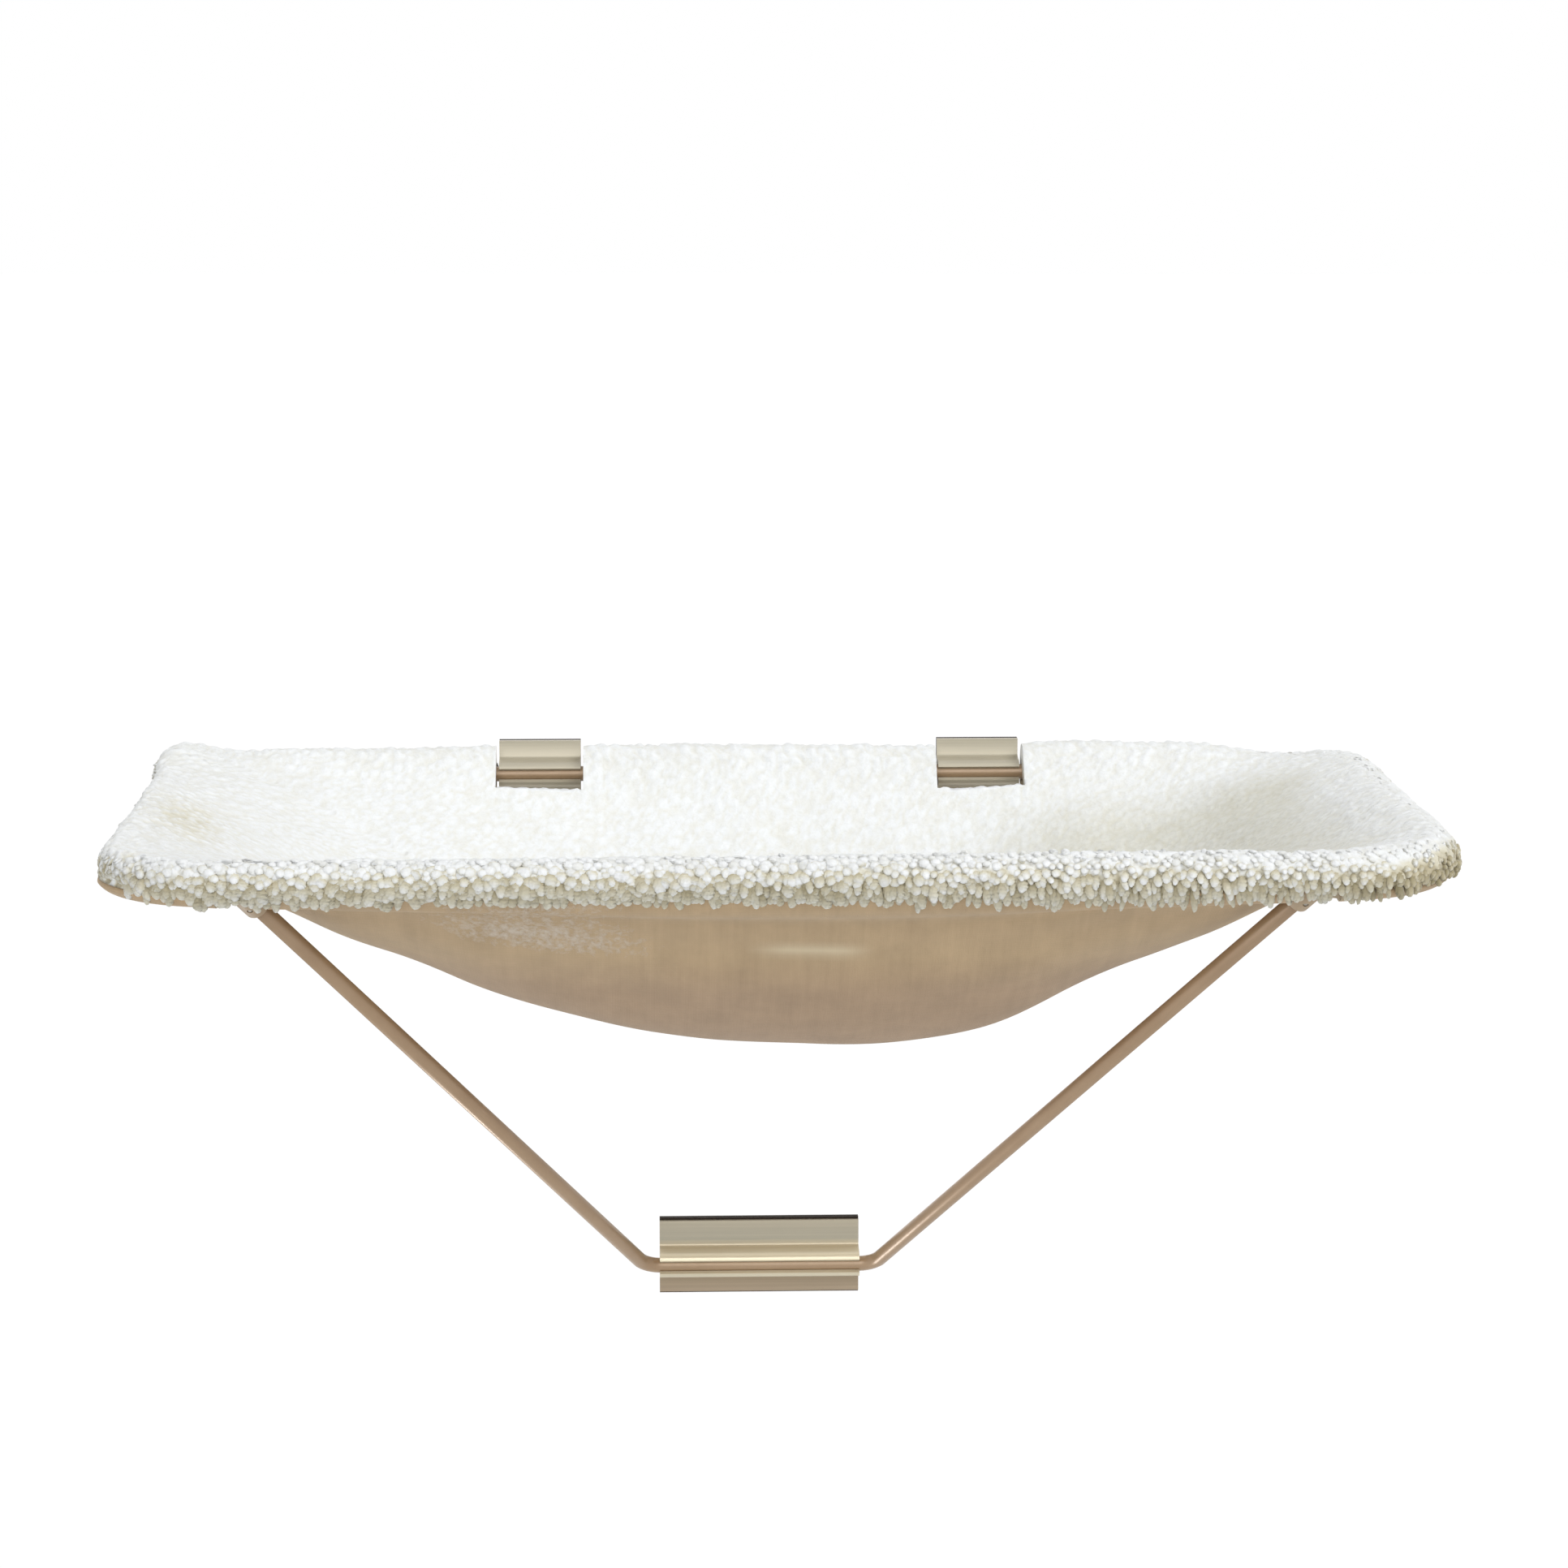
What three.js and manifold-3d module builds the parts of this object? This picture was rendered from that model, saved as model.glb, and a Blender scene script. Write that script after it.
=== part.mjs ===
// Cat window hammock: a fleece sling on a rod rim, hinged at a wall and propped by a bent wire.
// Millimetres, +Z up, +X along the width, +Y into the wall.
// The origin is the middle of the lower wall rail's foam pad, on the wall.
import * as THREE from 'three';
import { mergeVertices } from 'three/addons/utils/BufferGeometryUtils.js';
import Module from 'manifold-3d';

const wasm = await Module();
wasm.setup();

// Driving dimensions of the whole hammock
const RIM_WIDTH = 572; // between the centre lines of the side rods
const RIM_DEPTH = 296; // between the centre lines of the rear and the front rod
const RIM_HEIGHT = 249.8; // rim rod above the cross rod
const FRONT_CORNER_RADIUS = 50;
const REAR_CORNER_RADIUS = 30;
const ROD_DIAMETER = 7.5; // rim tube and brace wire alike, so that one rail profile holds both
const SLING_SAG = 101.5; // rim rod's centre line to the lowest point of the bed's hanging line

// Clearances
const TOUCH_GAP = 0.3; // between pieces that bear on each other
const CUT_OVERRUN = 2; // how far a cutting tool runs past what it cuts
const MERGE_DISTANCE = 1e-4; // corner points nearer than this are one point

// Rail profile, an extrusion with a long flange, a short flange and a channel for the rod
const RAIL_LONG_FLANGE = 21; // rod axis to the edge of the long flange
const RAIL_SHORT_FLANGE = 15.5; // rod axis to the edge of the short flange
const RAIL_PLATE = 2.2;
const RAIL_ROD_OFFSET = 8.5; // rail's back face to the rod axis
const CHANNEL_CLEARANCE = 0.3;
const LIP_WALL = 1.9;
const CHANNEL_MOUTH_HALF_ANGLE = THREE.MathUtils.degToRad(33);
const LIP_DROP_SHARE = 1.05; // underside of the channel, of the lips' radius
const FLANGE_FILLET_SHARE = 1.1; // hollow between the channel and the short flange
const RIB_NOSE_SHARE = 1.09; // heights on the rib over the channel, of the lips' radius, front to back
const RIB_CROWN_SHARE = 1.19;
const RIB_SLOPE_SHARE = 1.23;
const RIB_ROOT_SHARE = 1.33;
const RIB_FADE_SHARE = 1.4;
const FLANGE_FOOT_SHARE = 1.6; // where the long flange starts to be flat
const RIB_SLOPE_WIDTH_SHARE = 2.1; // distances of the rib from the wall, of the plate's thickness
const RIB_ROOT_WIDTH_SHARE = 1.3;
const WALL_RAIL_LENGTH = 100;
const REAR_RAIL_LENGTH = 40;
const REAR_RAIL_INSET = 178; // side rod to the middle of the nearer rear rail

// Foam pads behind the rails
const PAD_THICKNESS = 4;
const PAD_TOP_REACH = 1; // the wall rail's pad stands above the rail by this much

// Wood screws of the rear rails
const SCREW_DIAMETER = 3.8;
const SCREW_HEAD_DIAMETER = 7.6;
const SCREW_HEAD_HEIGHT = 1.9;
const SCREW_LENGTH = 20;
const SCREW_POINT_LENGTH = 4;
const SCREW_SPACING = 22;
const SCREW_FLANGE_PLACE = 15.2; // rod axis to the screws, along the long flange
const SCREW_SLOT_WIDTH = 0.9;
const SCREW_SLOT_LENGTH = 4.4;
const SCREW_SLOT_DEPTH = 1.2;

// Rim tube and the plugs that join its halves
const TUBE_WALL = 1;
const PLUG_CLEARANCE = 0.35;
const PLUG_LENGTH = 70;
const PLUG_COLLAR_WIDTH = 1.2;
const PLUG_CHAMFER = 0.8;

// Brace wire and its saddles
const BRACE_BEND_SPACING = 114.5; // between the two bends of the cross rod
const SADDLE_INSET = 55; // side rod to the middle of the nearer saddle
const BRACE_BEND_RADIUS = 12;
const SADDLE_CLEARANCE = 0.45;
const SADDLE_WALL = 2.4;
const SADDLE_WIDTH = 12;
const SADDLE_REAR_ANGLE = THREE.MathUtils.degToRad(338);
const SADDLE_FRONT_ANGLE = THREE.MathUtils.degToRad(225);
const SOCKET_WALL = 1.9;
const SOCKET_LENGTH = 13;
const SOCKET_FLOOR = 2;
const SOCKET_TAPER = 5;
const SOCKET_CHAMFER = 0.8;
const PIN_DIAMETER = 2;
const PIN_CLEARANCE = 0.3;
const PIN_PLACE = 15; // front rod's axis to the pin, along the wire
const PIN_CHAMFER_SHARE = 0.25; // of the pin's radius

// Sling: a fleece layer over the rim rod and a backing under it
const SLEEVE_CLEARANCE = 0.6;
const FLEECE_THICKNESS = 6;
const BACKING_THICKNESS = 1.5;
const BACKING_HEM_THICKNESS = 5.7; // folded edge of the backing under the rim rod
const HEM_ANGLE = THREE.MathUtils.degToRad(208); // where the fleece ends, under the front of the rod
const BACKING_EDGE_ANGLE = THREE.MathUtils.degToRad(213);
const FLAT_MIDDLE_SHARE = 0.07; // part of the half width that hangs at the full sag
const WIDTH_FALL_SHARE = 0.59; // power of the fall towards the two ends
const CREASE_DEPTH = 2.5; // fold along the front of the bed's underside
const CREASE_PLACE_SHARE = 0.78;
const CREASE_WIDTH_SHARE = 0.07;
const CORNER_FADE = 8; // power by which the rounded corners' leftover depth fades inward
const SEAM_SHARE = 0.87; // where the backing meets the fleece, from the middle to the rim
const SLEEVE_EDGE_SHARE = 0.97; // where the backing leaves the rod
const NOTCH_MARGIN = 1.4; // room round a rail or saddle in the sling's edge
const SLOPE_STEP_SHARE = 1e-4; // distance over which the bed's slope is taken, of the half depth

// Steps of the curved surfaces
const FRONT_CORNER_STEPS = 6;
const REAR_CORNER_STEPS = 4;
const FRONT_SIDE_STEPS = 10;
const END_SIDE_STEPS = 3;
const ROD_SIDES = 14;
const BORE_SIDES = 10;
const ROUND_SIDES = 24;
const BEND_STEPS = 6;
const CHANNEL_STEPS = 8;
const CUP_STEPS = 10;
const WRAP_STEPS = 4;
const BACKING_WRAP_STEPS = 3;
const BED_SHARES = [0.25, 0.5, 0.66, CREASE_PLACE_SHARE, SEAM_SHARE, 1];
const BACKING_SHARES = [0.25, 0.5, 0.66, CREASE_PLACE_SHARE, SEAM_SHARE, 0.94, 1];

// Sizes that follow
const ROD_RADIUS = ROD_DIAMETER / 2;
const HALF_WIDTH = RIM_WIDTH / 2;
const REAR_RAIL_SPACING = RIM_WIDTH - 2 * REAR_RAIL_INSET;
const BRACE_TOP_SPACING = RIM_WIDTH - 2 * SADDLE_INSET;
const HALF_DEPTH = RIM_DEPTH / 2;
const CHANNEL_RADIUS = ROD_RADIUS + CHANNEL_CLEARANCE;
const RAIL_HEIGHT = RAIL_LONG_FLANGE + RAIL_SHORT_FLANGE;
const ROD_WALL_DISTANCE = PAD_THICKNESS + RAIL_ROD_OFFSET;
const CROSS_ROD_Z = RAIL_HEIGHT / 2 - RAIL_LONG_FLANGE;
const RIM_Z = CROSS_ROD_Z + RIM_HEIGHT;
const SLEEVE_RADIUS = ROD_RADIUS + SLEEVE_CLEARANCE;
const ROLL_RADIUS = SLEEVE_RADIUS + FLEECE_THICKNESS;
const SADDLE_BORE_RADIUS = ROD_RADIUS + SADDLE_CLEARANCE;
const SADDLE_RADIUS = SADDLE_BORE_RADIUS + SADDLE_WALL;
const SOCKET_BORE_RADIUS = ROD_RADIUS + TOUCH_GAP;
const SOCKET_RADIUS = SOCKET_BORE_RADIUS + SOCKET_WALL;
const WIRE_END = SADDLE_BORE_RADIUS + SADDLE_WALL + SOCKET_FLOOR; // front rod's axis to the wire's end

const UP = new THREE.Vector3(0, 0, 1);
const ALONG = new THREE.Vector3(1, 0, 0);

// Materials
function material(color, roughness, metalness) {
  return new THREE.MeshStandardMaterial({ color, roughness, metalness });
}
const champagneMetal = () => material('#b9ae98', 0.38, 0.6);
const foam = () => material('#1b1714', 0.95, 0);
const steel = () => material('#a8a39a', 0.35, 0.9);
const tanPlastic = () => material('#9c8467', 0.55, 0);
const sherpa = () => material('#f3f2ea', 1, 0);
const suede = () => material('#b09a7a', 0.95, 0);

// Joining and cutting solids
function solidOf(geometry) {
  const bare = geometry.index ? geometry.clone() : geometry;
  bare.deleteAttribute('normal');
  bare.deleteAttribute('uv');
  const merged = mergeVertices(bare, MERGE_DISTANCE);
  const mesh = new wasm.Mesh({
    numProp: 3,
    vertProperties: Float32Array.from(merged.attributes.position.array),
    triVerts: Uint32Array.from(merged.index.array),
  });
  return new wasm.Manifold(mesh);
}

function geometryOf(solid) {
  const mesh = solid.getMesh();
  const geometry = new THREE.BufferGeometry();
  geometry.setAttribute('position', new THREE.BufferAttribute(mesh.vertProperties, 3));
  geometry.setIndex(new THREE.BufferAttribute(mesh.triVerts, 1));
  geometry.computeVertexNormals();
  return geometry;
}

function cutBy(geometry, tools) {
  return geometryOf(tools.reduce((solid, tool) => solid.subtract(solidOf(tool)), solidOf(geometry)));
}

function joined(geometries) {
  return geometryOf(geometries.map(solidOf).reduce((sum, next) => sum.add(next)));
}

function named(name, geometry, look) {
  const mesh = new THREE.Mesh(geometry, look);
  mesh.name = name;
  return mesh;
}

// A cylinder about a line, from one distance along it to another
function rodBetween(origin, direction, from, to, radius, sides = ROUND_SIDES) {
  const geometry = new THREE.CylinderGeometry(radius, radius, to - from, sides);
  const turn = new THREE.Quaternion().setFromUnitVectors(new THREE.Vector3(0, 1, 0), direction);
  geometry.applyQuaternion(turn);
  const middle = origin.clone().addScaledVector(direction, (from + to) / 2);
  geometry.translate(middle.x, middle.y, middle.z);
  return geometry;
}

// A turned piece about a line, its profile given as [radius, distance along the line]
function turnedAlong(origin, direction, profile, sides = ROUND_SIDES) {
  const points = profile.map(([radius, along]) => new THREE.Vector2(radius, along));
  const geometry = new THREE.LatheGeometry(points, sides);
  const turn = new THREE.Quaternion().setFromUnitVectors(new THREE.Vector3(0, 1, 0), direction);
  geometry.applyQuaternion(turn);
  geometry.translate(origin.x, origin.y, origin.z);
  return geometry;
}

// A rod's centre line: straights between corner points and an arc at each corner
class BentPath extends THREE.Curve {
  constructor(corners, radius, arcSteps) {
    super();
    this.stations = [];
    const last = corners.length - 1;
    corners.forEach((corner, i) => {
      if (i === 0 || i === last) {
        const other = corners[i === 0 ? 1 : last - 1];
        const tangent = i === 0 ? other.clone().sub(corner) : corner.clone().sub(other);
        this.stations.push({ point: corner, tangent: tangent.normalize() });
        return;
      }
      const into = corner.clone().sub(corners[i - 1]).normalize();
      const out = corners[i + 1].clone().sub(corner).normalize();
      const bend = into.angleTo(out);
      const start = corner.clone().addScaledVector(into, -radius * Math.tan(bend / 2));
      const side = out.clone().addScaledVector(into, -into.dot(out)).normalize();
      for (let k = 0; k <= arcSteps; k += 1) {
        const angle = (bend * k) / arcSteps;
        const point = start.clone()
          .addScaledVector(into, radius * Math.sin(angle))
          .addScaledVector(side, radius * (1 - Math.cos(angle)));
        const tangent = into.clone().multiplyScalar(Math.cos(angle))
          .addScaledVector(side, Math.sin(angle));
        this.stations.push({ point, tangent });
      }
    });
  }

  // Stations are taken one after another, whatever the distance between them
  getUtoTmapping(u) {
    return u;
  }

  getPoint(t) {
    const place = t * (this.stations.length - 1);
    const i = Math.min(Math.floor(place), this.stations.length - 2);
    return this.stations[i].point.clone().lerp(this.stations[i + 1].point, place - i);
  }

  getTangent(t) {
    return this.stations[Math.round(t * (this.stations.length - 1))].tangent.clone();
  }

  get steps() {
    return this.stations.length - 1;
  }
}

function circleShape(radius, sides) {
  const points = [];
  for (let i = 0; i < sides; i += 1) {
    const angle = (2 * Math.PI * i) / sides;
    points.push(new THREE.Vector2(radius * Math.cos(angle), radius * Math.sin(angle)));
  }
  return points;
}

function bentRod(path, boreRadius = 0) {
  const shape = new THREE.Shape(circleShape(ROD_RADIUS, ROD_SIDES));
  if (boreRadius > 0) {
    shape.holes.push(new THREE.Path(circleShape(boreRadius, BORE_SIDES)));
  }
  return new THREE.ExtrudeGeometry(shape, { steps: path.steps, extrudePath: path });
}

// Rail: the profile's first axis runs away from the wall, its second axis up from the rod
function railShape() {
  const shape = new THREE.Shape();
  const mouth = CHANNEL_MOUTH_HALF_ANGLE;
  const lipRadius = CHANNEL_RADIUS + LIP_WALL;
  const tipX = RAIL_ROD_OFFSET + lipRadius * Math.cos(mouth);
  const tipY = lipRadius * Math.sin(mouth);
  const webBottom = lipRadius + LIP_WALL;
  shape.moveTo(0, -RAIL_SHORT_FLANGE);
  shape.lineTo(RAIL_PLATE, -RAIL_SHORT_FLANGE);
  shape.lineTo(RAIL_PLATE, -webBottom);
  shape.quadraticCurveTo(RAIL_PLATE * FLANGE_FILLET_SHARE, -lipRadius * FLANGE_FILLET_SHARE,
    RAIL_ROD_OFFSET, -lipRadius * LIP_DROP_SHARE);
  shape.quadraticCurveTo(tipX - LIP_WALL / 2, -lipRadius, tipX, -tipY);
  shape.absarc(RAIL_ROD_OFFSET, 0, CHANNEL_RADIUS, -mouth, mouth, true);
  shape.lineTo(tipX, tipY);
  shape.quadraticCurveTo(tipX, lipRadius * RIB_NOSE_SHARE, RAIL_ROD_OFFSET, lipRadius * RIB_CROWN_SHARE);
  shape.quadraticCurveTo(RAIL_PLATE * RIB_SLOPE_WIDTH_SHARE, lipRadius * RIB_SLOPE_SHARE,
    RAIL_PLATE * RIB_ROOT_WIDTH_SHARE, lipRadius * RIB_ROOT_SHARE);
  shape.quadraticCurveTo(RAIL_PLATE, lipRadius * RIB_FADE_SHARE,
    RAIL_PLATE, lipRadius * FLANGE_FOOT_SHARE);
  shape.lineTo(RAIL_PLATE, RAIL_LONG_FLANGE);
  shape.lineTo(0, RAIL_LONG_FLANGE);
  shape.closePath();
  return shape;
}

// The rail lies along X with its back face on the pad and its rod axis at height zero.
// longSide is 1 with the long flange above the rod and -1 with it below.
function railGeometry(length, longSide) {
  const geometry = new THREE.ExtrudeGeometry(railShape(), {
    depth: length, bevelEnabled: false, curveSegments: CHANNEL_STEPS,
  });
  geometry.translate(-RAIL_ROD_OFFSET, 0, -length / 2);
  const away = new THREE.Vector3(0, -1, 0);
  const up = new THREE.Vector3(0, 0, longSide);
  geometry.applyMatrix4(new THREE.Matrix4().makeBasis(away, up, away.clone().cross(up)));
  return geometry;
}

function padGeometry(length, top, bottom) {
  const geometry = new THREE.BoxGeometry(length, PAD_THICKNESS, top - bottom);
  geometry.translate(0, ROD_WALL_DISTANCE - PAD_THICKNESS / 2, (top + bottom) / 2);
  return geometry;
}

// Lower rail on the wall, which holds the cross rod of the brace
function wallRail() {
  const group = new THREE.Group();
  group.position.set(0, -ROD_WALL_DISTANCE, CROSS_ROD_Z);
  group.add(named('wall_rail', railGeometry(WALL_RAIL_LENGTH, 1), champagneMetal()));
  const pad = padGeometry(WALL_RAIL_LENGTH, RAIL_LONG_FLANGE + PAD_TOP_REACH,
    -RAIL_SHORT_FLANGE - PAD_TOP_REACH);
  group.add(named('wall_rail_pad', pad, foam()));
  return group;
}

// One rear rail with its pad and two screws; the rear rim rod turns in it
function rearRail(side, label) {
  const group = new THREE.Group();
  group.position.set((side * REAR_RAIL_SPACING) / 2, -ROD_WALL_DISTANCE, RIM_Z);
  const inward = new THREE.Vector3(0, 1, 0);
  const headFace = RAIL_ROD_OFFSET - RAIL_PLATE - TOUCH_GAP;
  const places = [-SCREW_SPACING / 2, SCREW_SPACING / 2]
    .map((x) => new THREE.Vector3(x, headFace, -SCREW_FLANGE_PLACE));
  const holeRadius = SCREW_DIAMETER / 2 + TOUCH_GAP;
  const sinkRadius = SCREW_HEAD_DIAMETER / 2 + TOUCH_GAP;
  const sinkProfile = [
    [0, -CUT_OVERRUN], [sinkRadius, -CUT_OVERRUN], [sinkRadius, TOUCH_GAP],
    [holeRadius, SCREW_HEAD_HEIGHT + TOUCH_GAP], [holeRadius, SCREW_LENGTH], [0, SCREW_LENGTH],
  ];
  const sinks = places.map((place) => turnedAlong(place, inward, sinkProfile));
  group.add(named(`rear_rail_${label}`, cutBy(railGeometry(REAR_RAIL_LENGTH, -1), sinks),
    champagneMetal()));
  const pad = padGeometry(REAR_RAIL_LENGTH, RAIL_SHORT_FLANGE, -RAIL_LONG_FLANGE);
  group.add(named(`rear_rail_pad_${label}`, cutBy(pad, sinks), foam()));
  places.forEach((place, i) => {
    group.add(named(`rail_screw_${label}_${i + 1}`, screwGeometry(place, inward), steel()));
  });
  return group;
}

function screwGeometry(place, direction) {
  const shank = SCREW_DIAMETER / 2;
  const body = turnedAlong(place, direction, [
    [0, 0], [SCREW_HEAD_DIAMETER / 2, 0], [shank, SCREW_HEAD_HEIGHT],
    [shank, SCREW_LENGTH - SCREW_POINT_LENGTH], [0, SCREW_LENGTH],
  ]);
  const slots = [[SCREW_SLOT_LENGTH, SCREW_SLOT_WIDTH], [SCREW_SLOT_WIDTH, SCREW_SLOT_LENGTH]];
  return cutBy(body, slots.map(([width, height]) => {
    const slot = new THREE.BoxGeometry(width, SCREW_SLOT_DEPTH * 2, height);
    slot.translate(place.x, place.y, place.z);
    return slot;
  }));
}

// Rim: two bent tubes in the sling's sleeve, in a frame with its origin on the rear rod's axis
const sideMiddleY = -(RIM_DEPTH - FRONT_CORNER_RADIUS + REAR_CORNER_RADIUS) / 2;
const tubeEndGap = PLUG_COLLAR_WIDTH / 2 + TOUCH_GAP;
const boreRadius = ROD_RADIUS - TUBE_WALL;

function rimHalf(rodY, endY, cornerRadius, steps) {
  const corners = [
    [-HALF_WIDTH, endY], [-HALF_WIDTH, rodY], [HALF_WIDTH, rodY], [HALF_WIDTH, endY],
  ].map(([x, y]) => new THREE.Vector3(x, y, 0));
  return bentRod(new BentPath(corners, cornerRadius, steps), boreRadius);
}

function plugGeometry(side) {
  const radius = boreRadius - PLUG_CLEARANCE;
  const half = PLUG_LENGTH / 2;
  const collar = PLUG_COLLAR_WIDTH / 2;
  return turnedAlong(new THREE.Vector3(side * HALF_WIDTH, sideMiddleY, 0), new THREE.Vector3(0, 1, 0), [
    [0, -half], [radius - PLUG_CHAMFER, -half], [radius, -half + PLUG_CHAMFER], [radius, -collar],
    [ROD_RADIUS, -collar], [ROD_RADIUS, collar], [radius, collar], [radius, half - PLUG_CHAMFER],
    [radius - PLUG_CHAMFER, half], [0, half],
  ], ROD_SIDES);
}

// Brace: one bent wire with a saddle on each end, in a frame with its origin on the cross rod
const braceBend = (side) => new THREE.Vector3((side * BRACE_BEND_SPACING) / 2, 0, 0);
const braceTop = (side) => new THREE.Vector3((side * BRACE_TOP_SPACING) / 2, -RIM_DEPTH, RIM_HEIGHT);
const legDown = (side) => braceBend(side).sub(braceTop(side)).normalize();
const pinAxis = (side) => legDown(side).cross(ALONG).normalize();

function pinTool(side) {
  const middle = braceTop(side).addScaledVector(legDown(side), PIN_PLACE);
  const reach = SOCKET_RADIUS + CUT_OVERRUN;
  return rodBetween(middle, pinAxis(side), -reach, reach, PIN_DIAMETER / 2 + PIN_CLEARANCE);
}

function braceWire() {
  const end = (side) => braceTop(side).addScaledVector(legDown(side), WIRE_END);
  const corners = [end(-1), braceBend(-1), braceBend(1), end(1)];
  const path = new BentPath(corners, BRACE_BEND_RADIUS, BEND_STEPS);
  return cutBy(bentRod(path), [pinTool(-1), pinTool(1)]);
}

// The saddle's cup is open towards the wall and up, the way the rim rod leaves it
function saddleGeometry(side) {
  const top = braceTop(side);
  const down = legDown(side);
  const cup = new THREE.Shape();
  cup.absarc(0, 0, SADDLE_RADIUS, SADDLE_FRONT_ANGLE, SADDLE_REAR_ANGLE, false);
  cup.absarc(0, 0, SADDLE_BORE_RADIUS / 2, SADDLE_REAR_ANGLE, SADDLE_FRONT_ANGLE, true);
  cup.closePath();
  const cupBody = new THREE.ExtrudeGeometry(cup, {
    depth: SADDLE_WIDTH, bevelEnabled: false, curveSegments: CUP_STEPS,
  });
  cupBody.translate(0, 0, -SADDLE_WIDTH / 2);
  cupBody.applyMatrix4(new THREE.Matrix4().makeBasis(new THREE.Vector3(0, 1, 0), UP, ALONG));
  cupBody.translate(top.x, top.y, top.z);
  const neck = SADDLE_BORE_RADIUS + SADDLE_WALL / 2;
  const lowEnd = WIRE_END + SOCKET_LENGTH;
  const socket = turnedAlong(top, down, [
    [0, neck], [ROD_RADIUS, neck], [SOCKET_RADIUS, neck + SOCKET_TAPER],
    [SOCKET_RADIUS, lowEnd - SOCKET_CHAMFER], [SOCKET_RADIUS - SOCKET_CHAMFER, lowEnd], [0, lowEnd],
  ]);
  const reach = SADDLE_WIDTH + SADDLE_RADIUS;
  const hollow = rodBetween(top, ALONG, -reach, reach, SADDLE_BORE_RADIUS);
  const flatDown = new THREE.Vector3(0, down.y, down.z).normalize();
  const leave = new THREE.Vector3().crossVectors(flatDown, ALONG);
  const exit = new THREE.BoxGeometry(2 * reach, 2 * SADDLE_BORE_RADIUS, SADDLE_RADIUS * 2);
  exit.translate(0, 0, SADDLE_RADIUS);
  exit.applyMatrix4(new THREE.Matrix4().makeBasis(ALONG, leave.clone().cross(ALONG), leave));
  exit.translate(top.x, top.y, top.z);
  const bore = rodBetween(top, down, WIRE_END - TOUCH_GAP, lowEnd + CUT_OVERRUN, SOCKET_BORE_RADIUS);
  return cutBy(joined([cupBody, socket]), [hollow, exit, bore, pinTool(side)]);
}

function pinGeometry(side) {
  const middle = braceTop(side).addScaledVector(legDown(side), PIN_PLACE);
  const half = SOCKET_RADIUS - PIN_CLEARANCE;
  const radius = PIN_DIAMETER / 2;
  const chamfer = radius * PIN_CHAMFER_SHARE;
  return turnedAlong(middle, pinAxis(side), [
    [0, -half], [radius - chamfer, -half], [radius, -half + chamfer],
    [radius, half - chamfer], [radius - chamfer, half], [0, half],
  ]);
}

// Rim line in plan, anticlockwise from the front right corner: reach from the bed's middle,
// tangent and inward direction at each point
function rimLine() {
  const line = [];
  const add = (x, y, angle) => line.push({
    reach: new THREE.Vector3(x, y, 0),
    tangent: new THREE.Vector3(-Math.sin(angle), Math.cos(angle), 0),
    inward: new THREE.Vector3(-Math.cos(angle), -Math.sin(angle), 0),
  });
  const corners = [
    [1, -1, FRONT_CORNER_RADIUS, FRONT_CORNER_STEPS, END_SIDE_STEPS],
    [1, 1, REAR_CORNER_RADIUS, REAR_CORNER_STEPS, FRONT_SIDE_STEPS],
    [-1, 1, REAR_CORNER_RADIUS, REAR_CORNER_STEPS, END_SIDE_STEPS],
    [-1, -1, FRONT_CORNER_RADIUS, FRONT_CORNER_STEPS, FRONT_SIDE_STEPS],
  ];
  const arcs = corners.map(([sx, sy, radius, steps, sideSteps], i) => {
    const centre = [sx * (HALF_WIDTH - radius), sy * (HALF_DEPTH - radius)];
    const from = (i - 1) * (Math.PI / 2);
    const at = (k) => {
      const angle = from + (Math.PI / 2) * (k / steps);
      return [centre[0] + radius * Math.cos(angle), centre[1] + radius * Math.sin(angle), angle];
    };
    return { at, steps, sideSteps };
  });
  arcs.forEach((arc, i) => {
    for (let k = 0; k <= arc.steps; k += 1) {
      add(...arc.at(k));
    }
    const [x0, y0, angle] = arc.at(arc.steps);
    const [x1, y1] = arcs[(i + 1) % arcs.length].at(0);
    for (let k = 1; k < arc.sideSteps; k += 1) {
      const share = k / arc.sideSteps;
      add(x0 + (x1 - x0) * share, y0 + (y1 - y0) * share, angle);
    }
  });
  return line;
}

// Depth of the bed's hanging line below the rim, at a place from the middle
function hangingDepth(x, y) {
  const across = Math.max(0, Math.abs(x) / HALF_WIDTH - FLAT_MIDDLE_SHARE) / (1 - FLAT_MIDDLE_SHARE);
  const fall = (0.5 + 0.5 * Math.cos(Math.PI * Math.min(1, across))) ** WIDTH_FALL_SHARE;
  const nearCrease = Math.exp(-(((-y / HALF_DEPTH - CREASE_PLACE_SHARE) / CREASE_WIDTH_SHARE) ** 2));
  return fall * (SLING_SAG * (1 - (y / HALF_DEPTH) ** 2) - CREASE_DEPTH * nearCrease);
}

// A place on the hanging line, at a share of the way from the middle to a spot on the rim.
// The depth left over on the rounded corners fades out inward, so that the line meets the rim.
function bedPoint({ reach }, share) {
  const place = reach.clone().multiplyScalar(share);
  const overrun = hangingDepth(reach.x, reach.y) * share ** CORNER_FADE;
  place.z = overrun - hangingDepth(place.x, place.y);
  return place;
}

// Upward direction square to the hanging line, from its slopes outward and along the rim
function bedNormal(spot, share) {
  const aside = HALF_DEPTH * SLOPE_STEP_SHARE;
  const nearby = { reach: spot.reach.clone().addScaledVector(spot.tangent, aside) };
  const inner = bedPoint(spot, share - SLOPE_STEP_SHARE);
  const out = bedPoint(spot, share).sub(inner);
  const alongRim = bedPoint(nearby, share).sub(bedPoint(spot, share));
  return out.cross(alongRim).normalize();
}

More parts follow.
